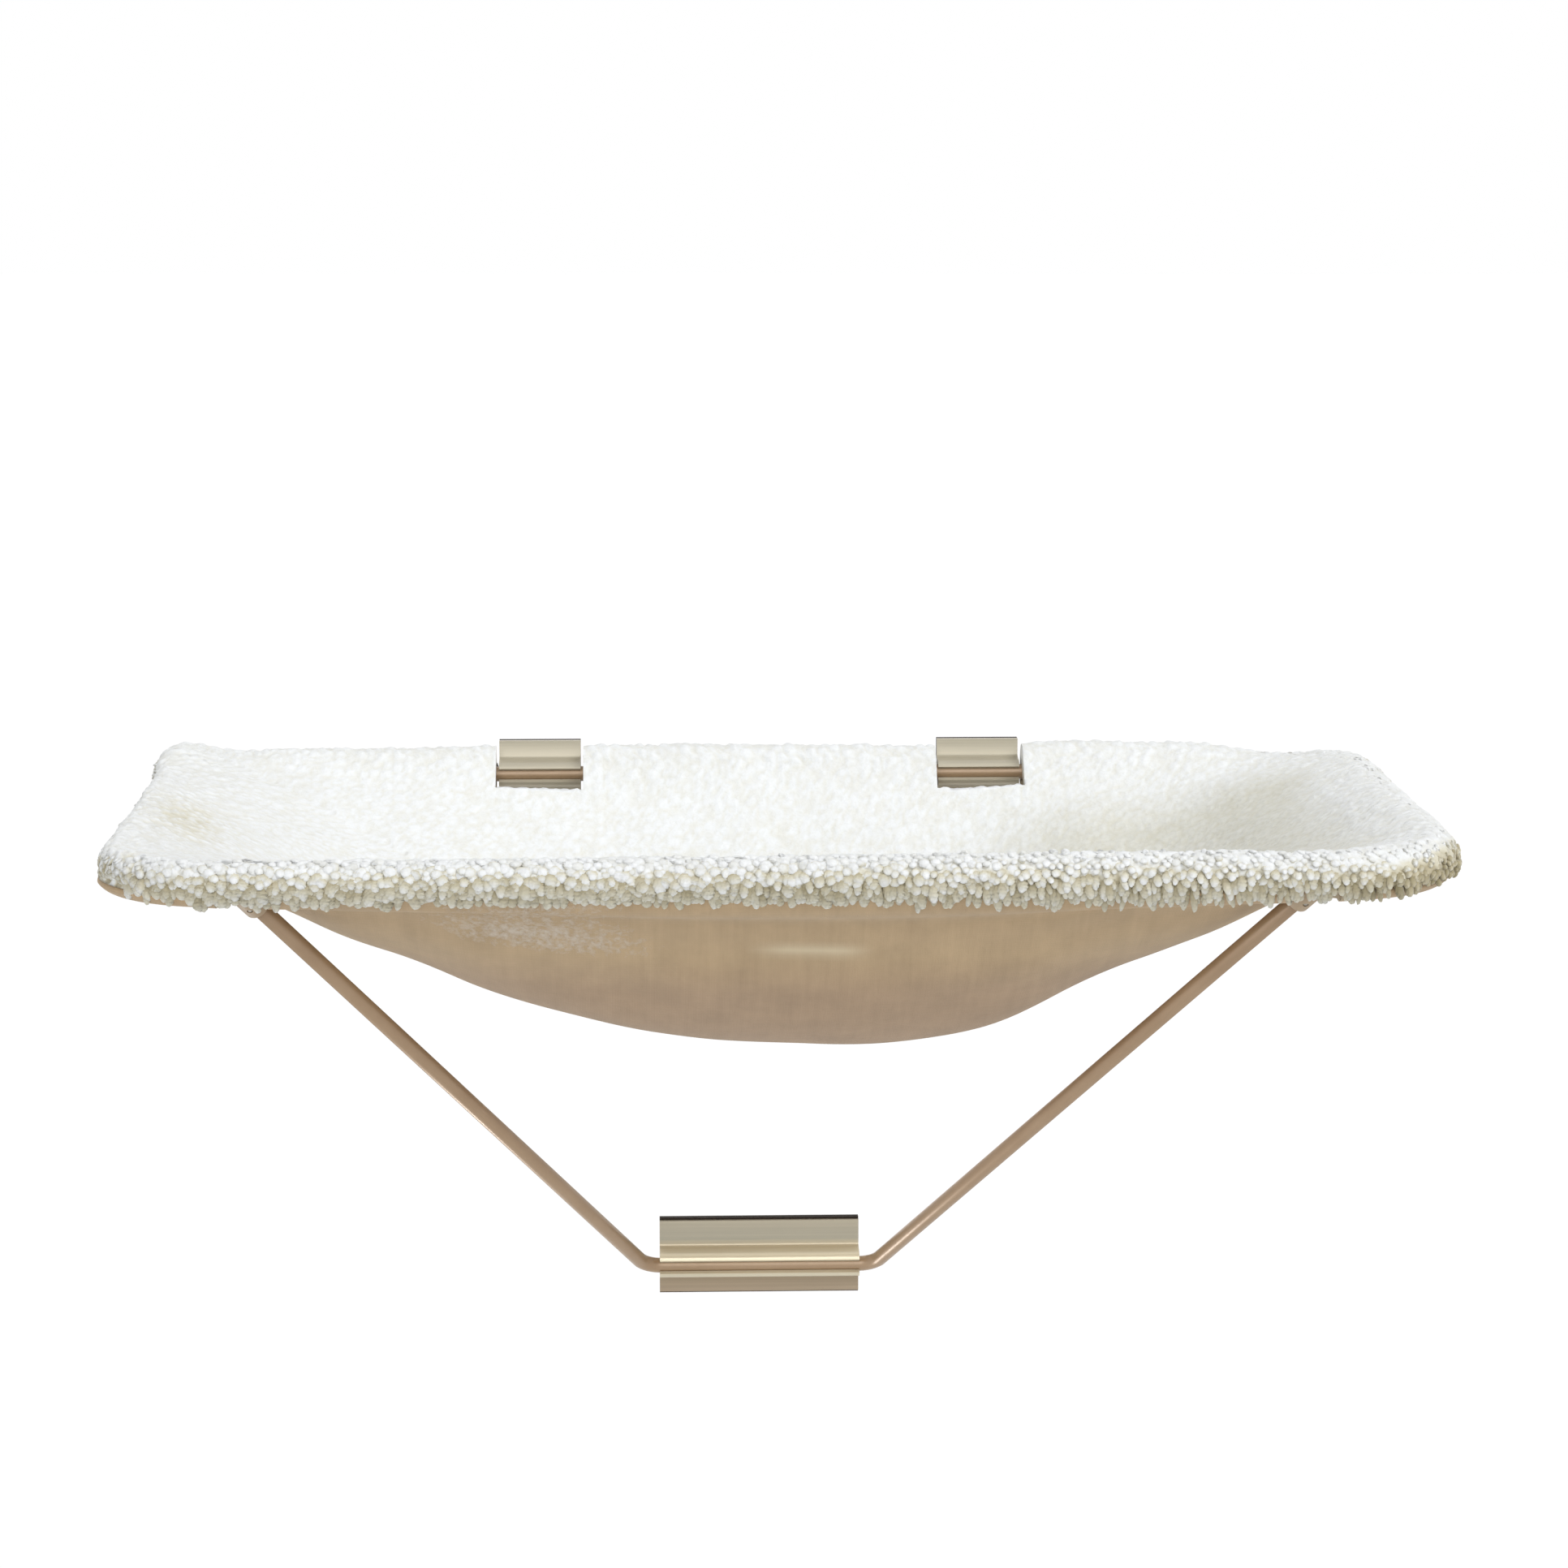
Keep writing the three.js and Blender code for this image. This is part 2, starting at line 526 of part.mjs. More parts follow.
function offsetRing(line, share, offset) {
  return line.map((spot) => bedPoint(spot, share).addScaledVector(bedNormal(spot, share), offset));
}

// Ring round the rim rod at a share of the way from the layer's tangent point to its edge
function wrapRing(line, share, radius, fromTurn, edgeAngle) {
  return line.map((spot) => {
    const normal = bedNormal(spot, 1);
    const from = Math.atan2(normal.z, normal.dot(spot.inward)) + fromTurn;
    const angle = from + (edgeAngle - from) * share;
    return spot.reach.clone()
      .addScaledVector(spot.inward, radius * Math.cos(angle))
      .addScaledVector(UP, radius * Math.sin(angle));
  });
}

// A closed sheet from rings that run over its upper skin, round its edge and back below.
// Both skins split their faces along the same diagonals, so that stacked sheets keep their gap.
function sheetGeometry(topMiddle, rings, bottomMiddle) {
  const count = rings[0].length;
  const points = [topMiddle, ...rings.flat(), bottomMiddle];
  const lowest = points.length - 1;
  const at = (ring, i) => 1 + ring * count + (i % count);
  const index = [];
  for (let i = 0; i < count; i += 1) {
    index.push(0, at(0, i), at(0, i + 1));
    for (let ring = 0; ring < rings.length - 1; ring += 1) {
      const [near, far, nearNext, farNext] = [
        at(ring, i), at(ring + 1, i), at(ring, i + 1), at(ring + 1, i + 1),
      ];
      if (ring < rings.length / 2) {
        index.push(near, far, farNext, near, farNext, nearNext);
      } else {
        index.push(near, far, nearNext, far, farNext, nearNext);
      }
    }
    index.push(at(rings.length - 1, i), lowest, at(rings.length - 1, i + 1));
  }
  const geometry = new THREE.BufferGeometry().setFromPoints(points);
  geometry.setIndex(index);
  geometry.translate(0, -HALF_DEPTH, 0);
  return geometry;
}

const middleAt = (offset) => new THREE.Vector3(0, 0, offset - hangingDepth(0, 0));
const stepShares = (steps) => Array.from({ length: steps }, (_, k) => (k + 1) / steps);

function fleeceSheet(line) {
  const wraps = stepShares(WRAP_STEPS);
  const skin = (radius) => [
    ...BED_SHARES.map((share) => offsetRing(line, share, radius)),
    ...wraps.map((share) => wrapRing(line, share, radius, 0, HEM_ANGLE)),
  ];
  const rings = [...skin(ROLL_RADIUS), ...skin(SLEEVE_RADIUS).reverse()];
  return sheetGeometry(middleAt(ROLL_RADIUS), rings, middleAt(SLEEVE_RADIUS));
}

// The backing lies under the fleece and, past the seam, comes down round the lower side of the rod,
// where its folded edge makes it as thick as the fleece roll
function backingSheet(line) {
  const wraps = stepShares(BACKING_WRAP_STEPS);
  const apart = (share) => THREE.MathUtils.smoothstep(share, SEAM_SHARE, SLEEVE_EDGE_SHARE);
  const lift = (share) => -SLEEVE_RADIUS + (2 * SLEEVE_RADIUS - TOUCH_GAP) * (1 - apart(share));
  const thickness = (share) => THREE.MathUtils.lerp(BACKING_THICKNESS, BACKING_HEM_THICKNESS, apart(share));
  const skin = (side) => [
    ...BACKING_SHARES.map((share) => offsetRing(line, share, lift(share) - side * thickness(share))),
    ...wraps.map((share) => wrapRing(line, share, SLEEVE_RADIUS + side * thickness(1),
      Math.PI, BACKING_EDGE_ANGLE)),
  ];
  const rings = [...skin(0), ...skin(1).reverse()];
  return sheetGeometry(middleAt(lift(0)), rings, middleAt(lift(0) - thickness(0)));
}

// Room in the sling's rear edge for the turning rear rails
function rearNotchTools() {
  const radius = Math.hypot(RAIL_SHORT_FLANGE, RAIL_ROD_OFFSET) + NOTCH_MARGIN;
  const half = REAR_RAIL_LENGTH / 2 + NOTCH_MARGIN;
  return [-1, 1].map((side) => {
    const middle = new THREE.Vector3((side * REAR_RAIL_SPACING) / 2, 0, 0);
    return rodBetween(middle, ALONG, -half, half, radius);
  });
}

// Room in the backing for the saddles and the wire below them
function saddleNotchTools() {
  return [-1, 1].flatMap((side) => {
    const middle = new THREE.Vector3((side * BRACE_TOP_SPACING) / 2, -RIM_DEPTH, 0);
    const half = SADDLE_WIDTH / 2 + NOTCH_MARGIN;
    const lowEnd = WIRE_END + SOCKET_LENGTH + NOTCH_MARGIN;
    const radius = SADDLE_RADIUS + NOTCH_MARGIN;
    const hemDepth = SLEEVE_RADIUS + BACKING_HEM_THICKNESS;
    const reach = hemDepth + CUT_OVERRUN;
    const lean = Math.abs(legDown(side).x / legDown(side).z);
    const inner = SOCKET_RADIUS + NOTCH_MARGIN + hemDepth * lean;
    const below = new THREE.BoxGeometry(half + inner, radius + reach, 2 * reach);
    below.translate(middle.x + (side * (half - inner)) / 2, middle.y + (radius - reach) / 2, -reach);
    return [
      below,
      rodBetween(middle, ALONG, -half, half, radius),
      rodBetween(middle, legDown(side), 0, lowEnd, SOCKET_RADIUS + NOTCH_MARGIN),
    ];
  });
}

function slingFrame() {
  const group = new THREE.Group();
  group.position.set(0, -ROD_WALL_DISTANCE, RIM_Z);
  const line = rimLine();
  group.add(named('rim_front_tube',
    rimHalf(-RIM_DEPTH, sideMiddleY - tubeEndGap, FRONT_CORNER_RADIUS, FRONT_CORNER_STEPS),
    champagneMetal()));
  group.add(named('rim_rear_tube',
    rimHalf(0, sideMiddleY + tubeEndGap, REAR_CORNER_RADIUS, REAR_CORNER_STEPS), champagneMetal()));
  group.add(named('rim_plug_left', plugGeometry(-1), steel()));
  group.add(named('rim_plug_right', plugGeometry(1), steel()));
  group.add(named('sling_fleece', cutBy(fleeceSheet(line), rearNotchTools()), sherpa()));
  const notches = [...rearNotchTools(), ...saddleNotchTools()];
  group.add(named('sling_backing', cutBy(backingSheet(line), notches), suede()));
  return group;
}

function brace() {
  const group = new THREE.Group();
  group.position.set(0, -ROD_WALL_DISTANCE, CROSS_ROD_Z);
  group.add(named('brace_wire', braceWire(), champagneMetal()));
  [[-1, 'left'], [1, 'right']].forEach(([side, label]) => {
    group.add(named(`brace_saddle_${label}`, saddleGeometry(side), tanPlastic()));
    group.add(named(`saddle_pin_${label}`, pinGeometry(side), steel()));
  });
  return group;
}

const hammock = new THREE.Group();
hammock.add(wallRail(), rearRail(-1, 'left'), rearRail(1, 'right'), slingFrame(), brace());

export default hammock;
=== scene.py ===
"""A cat window hammock: a fleece sling on a rod rim, hinged at a wall and propped by a bent wire."""
import math

import bmesh
import bpy
import numpy as np
from mathutils import Matrix, Vector, noise

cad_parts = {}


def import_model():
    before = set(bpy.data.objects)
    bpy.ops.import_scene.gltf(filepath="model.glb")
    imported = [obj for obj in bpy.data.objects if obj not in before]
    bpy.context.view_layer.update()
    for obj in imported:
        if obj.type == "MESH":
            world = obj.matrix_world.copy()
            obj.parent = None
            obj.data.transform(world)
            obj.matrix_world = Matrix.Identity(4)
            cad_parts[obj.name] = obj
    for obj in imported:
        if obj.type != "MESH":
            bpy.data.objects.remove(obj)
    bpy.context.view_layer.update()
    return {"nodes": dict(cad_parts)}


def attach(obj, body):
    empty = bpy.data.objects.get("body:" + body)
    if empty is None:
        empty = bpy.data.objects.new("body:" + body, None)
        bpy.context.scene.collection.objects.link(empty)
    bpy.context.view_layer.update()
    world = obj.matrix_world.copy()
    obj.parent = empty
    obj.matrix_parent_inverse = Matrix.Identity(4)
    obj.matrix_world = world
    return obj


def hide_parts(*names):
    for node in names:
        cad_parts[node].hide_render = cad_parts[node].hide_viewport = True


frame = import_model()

MM = 0.001
UP, ALONG = np.array([0.0, 0.0, 1.0]), np.array([1.0, 0.0, 0.0])

# Sizes of the part, in millimetres, in the sling's frame: its origin is on the rear rod's axis
RIM_WIDTH, RIM_DEPTH, RIM_HEIGHT = 572.0, 296.0, 249.8
FRONT_RADIUS, REAR_RADIUS = 50.0, 30.0
ROD_RADIUS, SLEEVE_CLEARANCE = 3.75, 0.6
FLEECE_THICKNESS, BACKING_THICKNESS, HEM_THICKNESS = 6.0, 1.5, 5.7
TOUCH_GAP = 0.3
# The rails' profile, from the rod's axis to its flanges' edges and to its back, and the foam pad behind it
RAIL_LONG_FLANGE, RAIL_SHORT_FLANGE, RAIL_ROD_OFFSET, PAD_THICKNESS = 21.0, 15.5, 8.5, 4.0
RAIL_SPACING, RAIL_LENGTH = 216.0, 40.0
BEND_SPACING, TOP_SPACING, BEND_RADIUS = 114.5, 462.0, 12.0
SADDLE_RADIUS, SADDLE_WIDTH = 6.6, 12.0
SOCKET_RADIUS, SOCKET_LENGTH, SOCKET_FLOOR = 5.95, 13.0, 2.0
# How much wider each cut-out is than what it makes room for
NOTCH_MARGIN = 1.4

# Sizes that follow
HALF_WIDTH, HALF_DEPTH = RIM_WIDTH / 2, RIM_DEPTH / 2
SLEEVE_RADIUS = ROD_RADIUS + SLEEVE_CLEARANCE
ROLL_RADIUS = SLEEVE_RADIUS + FLEECE_THICKNESS
RAIL_HEIGHT = RAIL_LONG_FLANGE + RAIL_SHORT_FLANGE
WALL_DISTANCE = PAD_THICKNESS + RAIL_ROD_OFFSET
CROSS_ROD_Z = RAIL_HEIGHT / 2 - RAIL_LONG_FLANGE
RIM_Z = CROSS_ROD_Z + RIM_HEIGHT
WIRE_END = SADDLE_RADIUS + SOCKET_FLOOR

# The hanging form: its depth, its flat middle, how steeply it falls, and the fold along the bed's front
SAG = 101.5
FLAT_SHARE, FALL_POWER = 0.07, 0.59
CREASE_DEPTH, CREASE_PLACE, CREASE_WIDTH = 2.5, 0.78, 0.07
CORNER_FADE = 8
# How far the loaded bed hangs above or below that form, by the place across the width
LOAD = ([-286, -250, -215, -191, -160, -118, -65, -34, -8, 18,
         74, 98, 112, 128, 148, 165, 185, 211, 250, 286],
        [0, -1.5, -3.0, -2.6, 1.8, 1.2, 2.0, 0.8, -2.0, -2.6,
         -5.0, -6.6, -6.2, -3.2, -0.8, -2.6, -5.6, -6.5, -3.0, 0])
# Squares of each sheet's grid along X and Y, and how many of them a hidden square's side takes
FLEECE_GRID, BACKING_GRID = (336, 176, 4), (240, 128, 4)
# Steps round the rod in each sheet's show side
FLEECE_RINGS, BACKING_RINGS = 22, 11
# Shares of the way from the middle of the bed to the rim: the hem's seam and the sleeve's edge
SEAM_SHARE, SLEEVE_EDGE_SHARE = 0.87, 0.97
# How far the two layers reach round the rod
HEM_ANGLE, BACKING_ANGLE = math.radians(208), math.radians(213)
# The fleece roll's own radius by the degrees round the rod; the curls fill the rest of the front
ROLL_PROFILE = ([0, 90, 120, 150, 180, 200, 208], [10.35, 10.2, 9.9, 9.3, 8.6, 8.4, 8.6])
# The roll's soft swellings: (x, y from the middle of the bed, reach, millimetres outward, millimetres up)
SWELLS = [
    (-290, 133, 24, 3.0, 5.0), (-284, 147, 16, 2.5, 4.5), (-286, 100, 42, -4.0, 0.0),
    (-286, 30, 55, -4.6, 0.0), (-286, -50, 45, -4.0, 0.0), (-276, -130, 36, -1.6, -0.6),
    (-225, 148, 40, 0, 2.6), (-150, 148, 60, 0, 3.0), (-60, 148, 70, 0, 3.2), (50, 148, 80, 0, 3.4),
    (160, 148, 42, 0, 4.8), (215, 148, 30, 0, 2.8), (264, 150, 24, 0, -3.6), (280, 143, 22, 3.0, 1.5),
    (286, 110, 45, 4.6, 1.0), (286, 30, 70, 5.0, 0.5), (286, -60, 55, 3.6, 1.5), (278, -130, 40, 2.2, 2.6),
    (150, -148, 90, 0.3, 1.2), (-150, -148, 90, 0.2, -0.8), (40, -148, 60, 0.4, 0.2),
]
# The hollows at the front left corner, dented in and darkened with painted shade: (depth, x, y from the
# middle of the bed, reach along x and y)
HOLLOWS = [(1.0, -266, 2, 15, 42), (0.8, -274, -136, 8, 12)]
HOLLOW_DEPTH = 2.2
# The fleece's relief: how wide its nubs, soft lumps, slow waves and folds are, and how high on bed and roll
NUB_SIZE, SOFT_SIZE, SLOW_SIZE, FOLD_SIZE = 5.2, 12, 34, 9
BED_NUBS, HOLLOW_NUBS, BED_FOLDS, BED_SLOW = 0.5, 0.9, 0.25, 1.3
ROLL_NUBS, ROLL_SOFT, ROLL_SLOW = 1.5, 0.5, 0.7
# Painted shade: how much darker the roll is at its front right end
END_SHADE = 0.36

# The corners of the rim, anticlockwise: (sign of x, sign of y, radius, direction of the middle of its arc)
CORNERS = [(-1, -1, FRONT_RADIUS, -3 * math.pi / 4), (1, -1, FRONT_RADIUS, -math.pi / 4),
           (1, 1, REAR_RADIUS, math.pi / 4), (-1, 1, REAR_RADIUS, 3 * math.pi / 4)]
FRONT, RIGHT, REAR, LEFT = range(4)

# A curl: where its rings stand along it, how wide each is, and its number of sides
CURL_RINGS = np.array([0, 0.25, 0.5, 0.72, 0.88, 0.97])
CURL_PROFILE = np.array([0.72, 0.97, 1.06, 1.0, 0.80, 0.48])
CURL_SIDES = 7
CURL_ROOT_DEPTH, CURL_CLEARANCE = 1.4, 2.0
# Rows of curls, in degrees round the rod, and how light a curl's root and tip are by that angle: painted
# shade, darker at the roots and on the lower rows
CURL_ROWS = (98, 111, 124, 135, 146, 156, 166, 176, 185, 194, 203)
ROOT_PILE = ([100, 130, 165, 200], [0.74, 0.52, 0.24, 0.10])
TIP_PILE = ([100, 150, 200], [0.95, 0.84, 0.62])


# Helpers
def smoothstep(x, low, high):
    t = np.clip((x - low) / (high - low), 0, 1)
    return t * t * (3 - 2 * t)


def near(x, middle, width):
    """1 at the middle, and fading to 0 about twice the width away."""
    return np.exp(-(((x - middle) / width) ** 2))


def unit(vectors):
    return vectors / np.linalg.norm(vectors, axis=1, keepdims=True)


def lying(flat):
    """Vectors in the plane as vectors in space."""
    return np.column_stack([flat, np.zeros(len(flat))])


def turned(inward, angle):
    """Directions across the rod: inward at 0, up at 90 degrees."""
    return np.cos(angle)[:, None] * lying(inward) + np.sin(angle)[:, None] * UP


# Meshes
def to_frame(points):
    """Millimetres in the sling's frame to metres in the row frame."""
    return (np.asarray(points, float) + [0, -WALL_DISTANCE, RIM_Z]) * MM


def bed_to_frame(points):
    """Millimetres from the middle of the bed, at the rim's height, to metres in the row frame."""
    return to_frame(np.asarray(points, float) - [0, HALF_DEPTH, 0])


def add_object(name, data):
    obj = bpy.data.objects.new(name, data)
    bpy.context.scene.collection.objects.link(obj)
    return obj


def mesh_object(name, points, faces, body):
    """A smooth mesh object from points in metres and an (n, 3) or (n, 4) face array, riding on a body."""
    faces = np.asarray(faces, np.int32)
    mesh = bpy.data.meshes.new(name)
    mesh.vertices.add(len(points))
    mesh.vertices.foreach_set("co", np.asarray(points, np.float32).ravel())
    mesh.loops.add(faces.size)
    mesh.loops.foreach_set("vertex_index", faces.ravel())
    mesh.polygons.add(len(faces))
    mesh.polygons.foreach_set("loop_start", np.arange(0, faces.size, faces.shape[1], dtype=np.int32))
    mesh.update(calc_edges=True)
    mesh.polygons.foreach_set("use_smooth", np.ones(len(faces), bool))
    mesh.validate()
    obj = add_object(name, mesh)
    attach(obj, body)
    return obj


def add_attribute(obj, name, colours):
    """A colour per vertex, as linear red, green and blue."""
    layer = obj.data.color_attributes.new(name, "FLOAT_COLOR", "POINT")
    rgba = np.ones((len(obj.data.vertices), 4), np.float32)
    rgba[:, :3] = colours
    layer.data.foreach_set("color", rgba.ravel())


def normals_of(points, quads):
    """Area-weighted normals per vertex of a quad mesh."""
    a, b, c, d = (points[quads[:, k]] for k in range(4))
    face = np.cross(c - a, d - b)
    out = np.zeros_like(points)
    for k in range(4):
        np.add.at(out, quads[:, k], face)
    return out / np.maximum(np.linalg.norm(out, axis=1, keepdims=True), 1e-12)


# The sling's forms
def hanging_depth(x, y):
    """How far the even form hangs below the rim's plane."""
    across = np.clip((np.abs(x) / HALF_WIDTH - FLAT_SHARE) / (1 - FLAT_SHARE), 0, 1)
    fall = (0.5 + 0.5 * np.cos(np.pi * across)) ** FALL_POWER
    crease = near(-y / HALF_DEPTH, CREASE_PLACE, CREASE_WIDTH)
    return fall * (SAG * (1 - (y / HALF_DEPTH) ** 2) - CREASE_DEPTH * crease)


def loaded(x, share):
    """The load's rise or dip, smoothed across the width and gone at the rim."""
    even = sum(np.interp(x + shift, *LOAD) for shift in (-15, -10, -5, 0, 5, 10, 15)) / 7
    return even * (1 - smoothstep(share, 0.66, 0.97))


def roll_radius(angle):
    return np.interp(angle, np.radians(ROLL_PROFILE[0]), ROLL_PROFILE[1])


def swell(place, up_share):
    """How far the roll stands out; up_share is 1 on its top and 0 on its side."""
    total = np.zeros(len(place))
    for x, y, reach, outward, up in SWELLS:
        close = np.exp(-((place[:, 0] - x) ** 2 + (place[:, 1] - y) ** 2) / reach ** 2)
        total += close * (outward * (1 - up_share) + up * up_share)
    return total


def hollow(place):
    """How deep a point lies in the hollows, 1 in the middle of the larger one. It sets their dent and their
    painted shade.
    """
    return sum(depth * near(place[:, 0], x, wide) * near(place[:, 1], y, long)
               for depth, x, y, wide, long in HOLLOWS)


def shaded(place, up):
    """Painted shade: how much darker the roll is at its front right end, where it doesn't face up."""
    end = smoothstep(place[:, 0], 268, 288)
    side_on = np.clip((0.75 + 0.18 * end - up) / (0.65 - 0.2 * end), 0, 1)
    side_on = side_on * side_on * (3 - 2 * side_on)
    return side_on * smoothstep(-place[:, 1], 60, 140) * END_SHADE * smoothstep(place[:, 0], 225, 285)


def rim_side(t, corner_a, corner_b):
    """Points and inward directions on a side of the rim, from the middle of one corner's arc to the
    middle of the next. t runs from 0 to 1."""
    (ax, ay, ra, angle_a), (bx, by, rb, _) = corner_a, corner_b
    centre_a = np.array([ax * (HALF_WIDTH - ra), ay * (HALF_DEPTH - ra)])
    centre_b = np.array([bx * (HALF_WIDTH - rb), by * (HALF_DEPTH - rb)])
    end_a = angle_a + math.pi / 4
    straight_out = np.array([math.cos(end_a), math.sin(end_a)])
    start, stop = centre_a + ra * straight_out, centre_b + rb * straight_out
    lengths = np.array([ra * math.pi / 4, np.linalg.norm(stop - start), rb * math.pi / 4])
    marks = np.concatenate([[0], np.cumsum(lengths)])
    s = np.asarray(t) * marks[-1]
    on_a, on_b = s < marks[1], s > marks[2]
    angle = np.where(on_a, angle_a + s / ra, np.where(on_b, end_a + (s - marks[2]) / rb, end_a))
    outward = np.stack([np.cos(angle), np.sin(angle)], 1)
    arc = np.where(on_b[:, None], centre_b, centre_a) + np.where(on_b, rb, ra)[:, None] * outward
    straight = start + (stop - start) * np.clip((s - marks[1]) / lengths[1], 0, 1)[:, None]
    return np.where((on_a | on_b)[:, None], arc, straight), -outward


def rim_points(side, t):
    return rim_side(np.asarray(t, float), CORNERS[side], CORNERS[(side + 1) % 4])


def bed_grid(nx, ny):
    """A grid over the bed: reach, inward direction and share at each grid point."""
    tiny = 1e-9
    i, j = np.meshgrid(np.arange(nx + 1), np.arange(ny + 1), indexing="ij")
    u, v = (2 * i / nx - 1).ravel(), (2 * j / ny - 1).ravel()
    share = np.maximum(np.abs(u), np.abs(v))
    safe = np.maximum(share, tiny)
    a, b = np.where(share < tiny, 1, u / safe), v / safe
    reach, inward = np.zeros((len(u), 2)), np.zeros((len(u), 2))
    masks = [b <= -1 + tiny, a >= 1 - tiny, b >= 1 - tiny, a <= -1 + tiny]
    places = [(a + 1) / 2, (b + 1) / 2, (1 - a) / 2, (1 - b) / 2]
    done = np.zeros(len(u), bool)
    for side, (mask, place) in enumerate(zip(masks, places)):
        mask = mask & ~done
        reach[mask], inward[mask] = rim_points(side, place[mask])
        done |= mask
    return reach, inward, share


def bed_points(reach, share):
    """Points of the even form, at a share of the way to the rim."""
    place = reach * share[:, None]
    over = hanging_depth(reach[:, 0], reach[:, 1]) * share ** CORNER_FADE
    return np.column_stack([place, over - hanging_depth(place[:, 0], place[:, 1])])


def bed_normals(reach, inward, share):
    """Upward normals of the hanging form from small steps outward and along the rim."""
    step = 1e-3
    share = np.maximum(share, 0.02)
    tangent = np.column_stack([inward[:, 1], -inward[:, 0]])
    here = bed_points(reach, share)
    out = here - bed_points(reach, share - step)
    along = bed_points(reach + tangent * HALF_DEPTH * step, share) - here
    normal = np.cross(out, along)
    return unit(normal * np.sign(normal[:, 2:3]))


def boundary_loop(nx, ny):
    """Grid indices of the boundary, anticlockwise from the front left corner."""
    i, j, column = np.arange(nx), np.arange(ny), ny + 1
    return np.concatenate([i * column, nx * column + j, (nx - i) * column + ny, ny - j])


def grid_quads(nx, ny):
    i, j = np.meshgrid(np.arange(nx), np.arange(ny), indexing="ij")
    a = (i * (ny + 1) + j).ravel()
    return np.column_stack([a, a + ny + 1, a + ny + 2, a + 1])


class Sheet:
    """A closed sheet: a fine show skin, a rolled edge, and a coarse hidden skin behind it."""

    def __init__(self, nx, ny, coarse):
        self.nx, self.ny, self.coarse = nx, ny, coarse
        self.reach, self.inward, self.share = bed_grid(nx, ny)
        self.loop = boundary_loop(nx, ny)
        self.count = len(self.loop)
        self.normal = bed_normals(self.reach, self.inward, self.share)
        self.middle = bed_points(self.reach, self.share)
        self.middle[:, 2] += loaded(self.middle[:, 0], self.share)

    def skin(self, offset):
        return self.middle + self.normal * np.asarray(offset).reshape(-1, 1)

    def ring_angles(self, angle_share, turn, edge):
        """Angles round the rod, a share of the way from the skin to edge. turn is pi for a skin under it."""
        inward, normal = self.inward[self.loop], self.normal[self.loop]
        start = np.arctan2(normal[:, 2], (normal[:, :2] * inward).sum(1)) + turn
        return start + (edge - start) * angle_share

    def ring(self, angles, radius):
        """A ring of points round the rod."""
        return lying(self.reach[self.loop]) + radius * turned(self.inward[self.loop], angles)

    def build(self, show_skin, rings, hidden_offset, flip):
        """Points, quads and triangles. Rings run from the show skin's edge to the hidden skin's edge."""
        n, count = len(show_skin), self.count
        quads = [grid_quads(self.nx, self.ny)]
        previous = self.loop
        for k in range(len(rings)):
            current = n + k * count + np.arange(count)
            quads.append(np.column_stack([previous, current, np.roll(current, -1), np.roll(previous, -1)]))
            previous = current
        c = self.coarse
        cx, cy = self.nx // c, self.ny // c
        i, j = np.meshgrid(np.arange(cx + 1) * c, np.arange(cy + 1) * c, indexing="ij")
        picks = (i * (self.ny + 1) + j).ravel()
        offset = np.asarray(hidden_offset(self.share[picks])).reshape(-1, 1)
        hidden = self.middle[picks] + self.normal[picks] * offset
        base = n + len(rings) * count
        quads.append(base + grid_quads(cx, cy)[:, ::-1])
        # The last ring is finer than the hidden skin, so triangles join each coarse edge to its fine ones
        coarse_loop = base + boundary_loop(cx, cy)
        triangles = []
        for k, (first, second) in enumerate(zip(coarse_loop, np.roll(coarse_loop, -1))):
            fine = [previous[(k * c + m) % count] for m in range(c + 1)]
            half = c // 2
            for m in range(c):
                triangles.append((fine[m], first if m < half else second, fine[m + 1]))
            triangles.append((fine[half], first, second))
        points = np.vstack([show_skin, *rings, hidden])
        quads, triangles = np.vstack(quads), np.array(triangles)
        # As wound here, faces point out where the show skin faces up. Where it faces down, all turn
        if flip:
            quads, triangles = quads[:, ::-1], triangles[:, ::-1]
        return points, quads, triangles


def sheet_object(name, points, quads, triangles):
    """A mesh object of quads and triangles together, riding on the sling's frame."""
    faces = np.vstack([quads[:, [0, 1, 2]], quads[:, [0, 2, 3]], triangles])
    return mesh_object(name, bed_to_frame(points), faces, "sling_frame")


# Scattered lumps
def lumps(points, size, seed):
    """Heights of soft rounded lumps, from 0 in the crevices to 1 on their tops."""
    height = np.empty(len(points))
    shift = Vector((seed * 17.3, seed * 5.1, seed * 9.7))
    for k, p in enumerate(points / size):
        (nearest, second, _, _), _ = noise.voronoi(Vector(p) + shift)
        height[k] = second - nearest
    return np.clip(height / 0.55, 0, 1) ** 0.6


def waves(points, size, seed):
    """Slow random heights from -1 to 1."""
    shift = Vector((seed * 3.7, seed * 11.1, seed * 2.3))
    return np.array([noise.noise(Vector(p) + shift) for p in points / size])


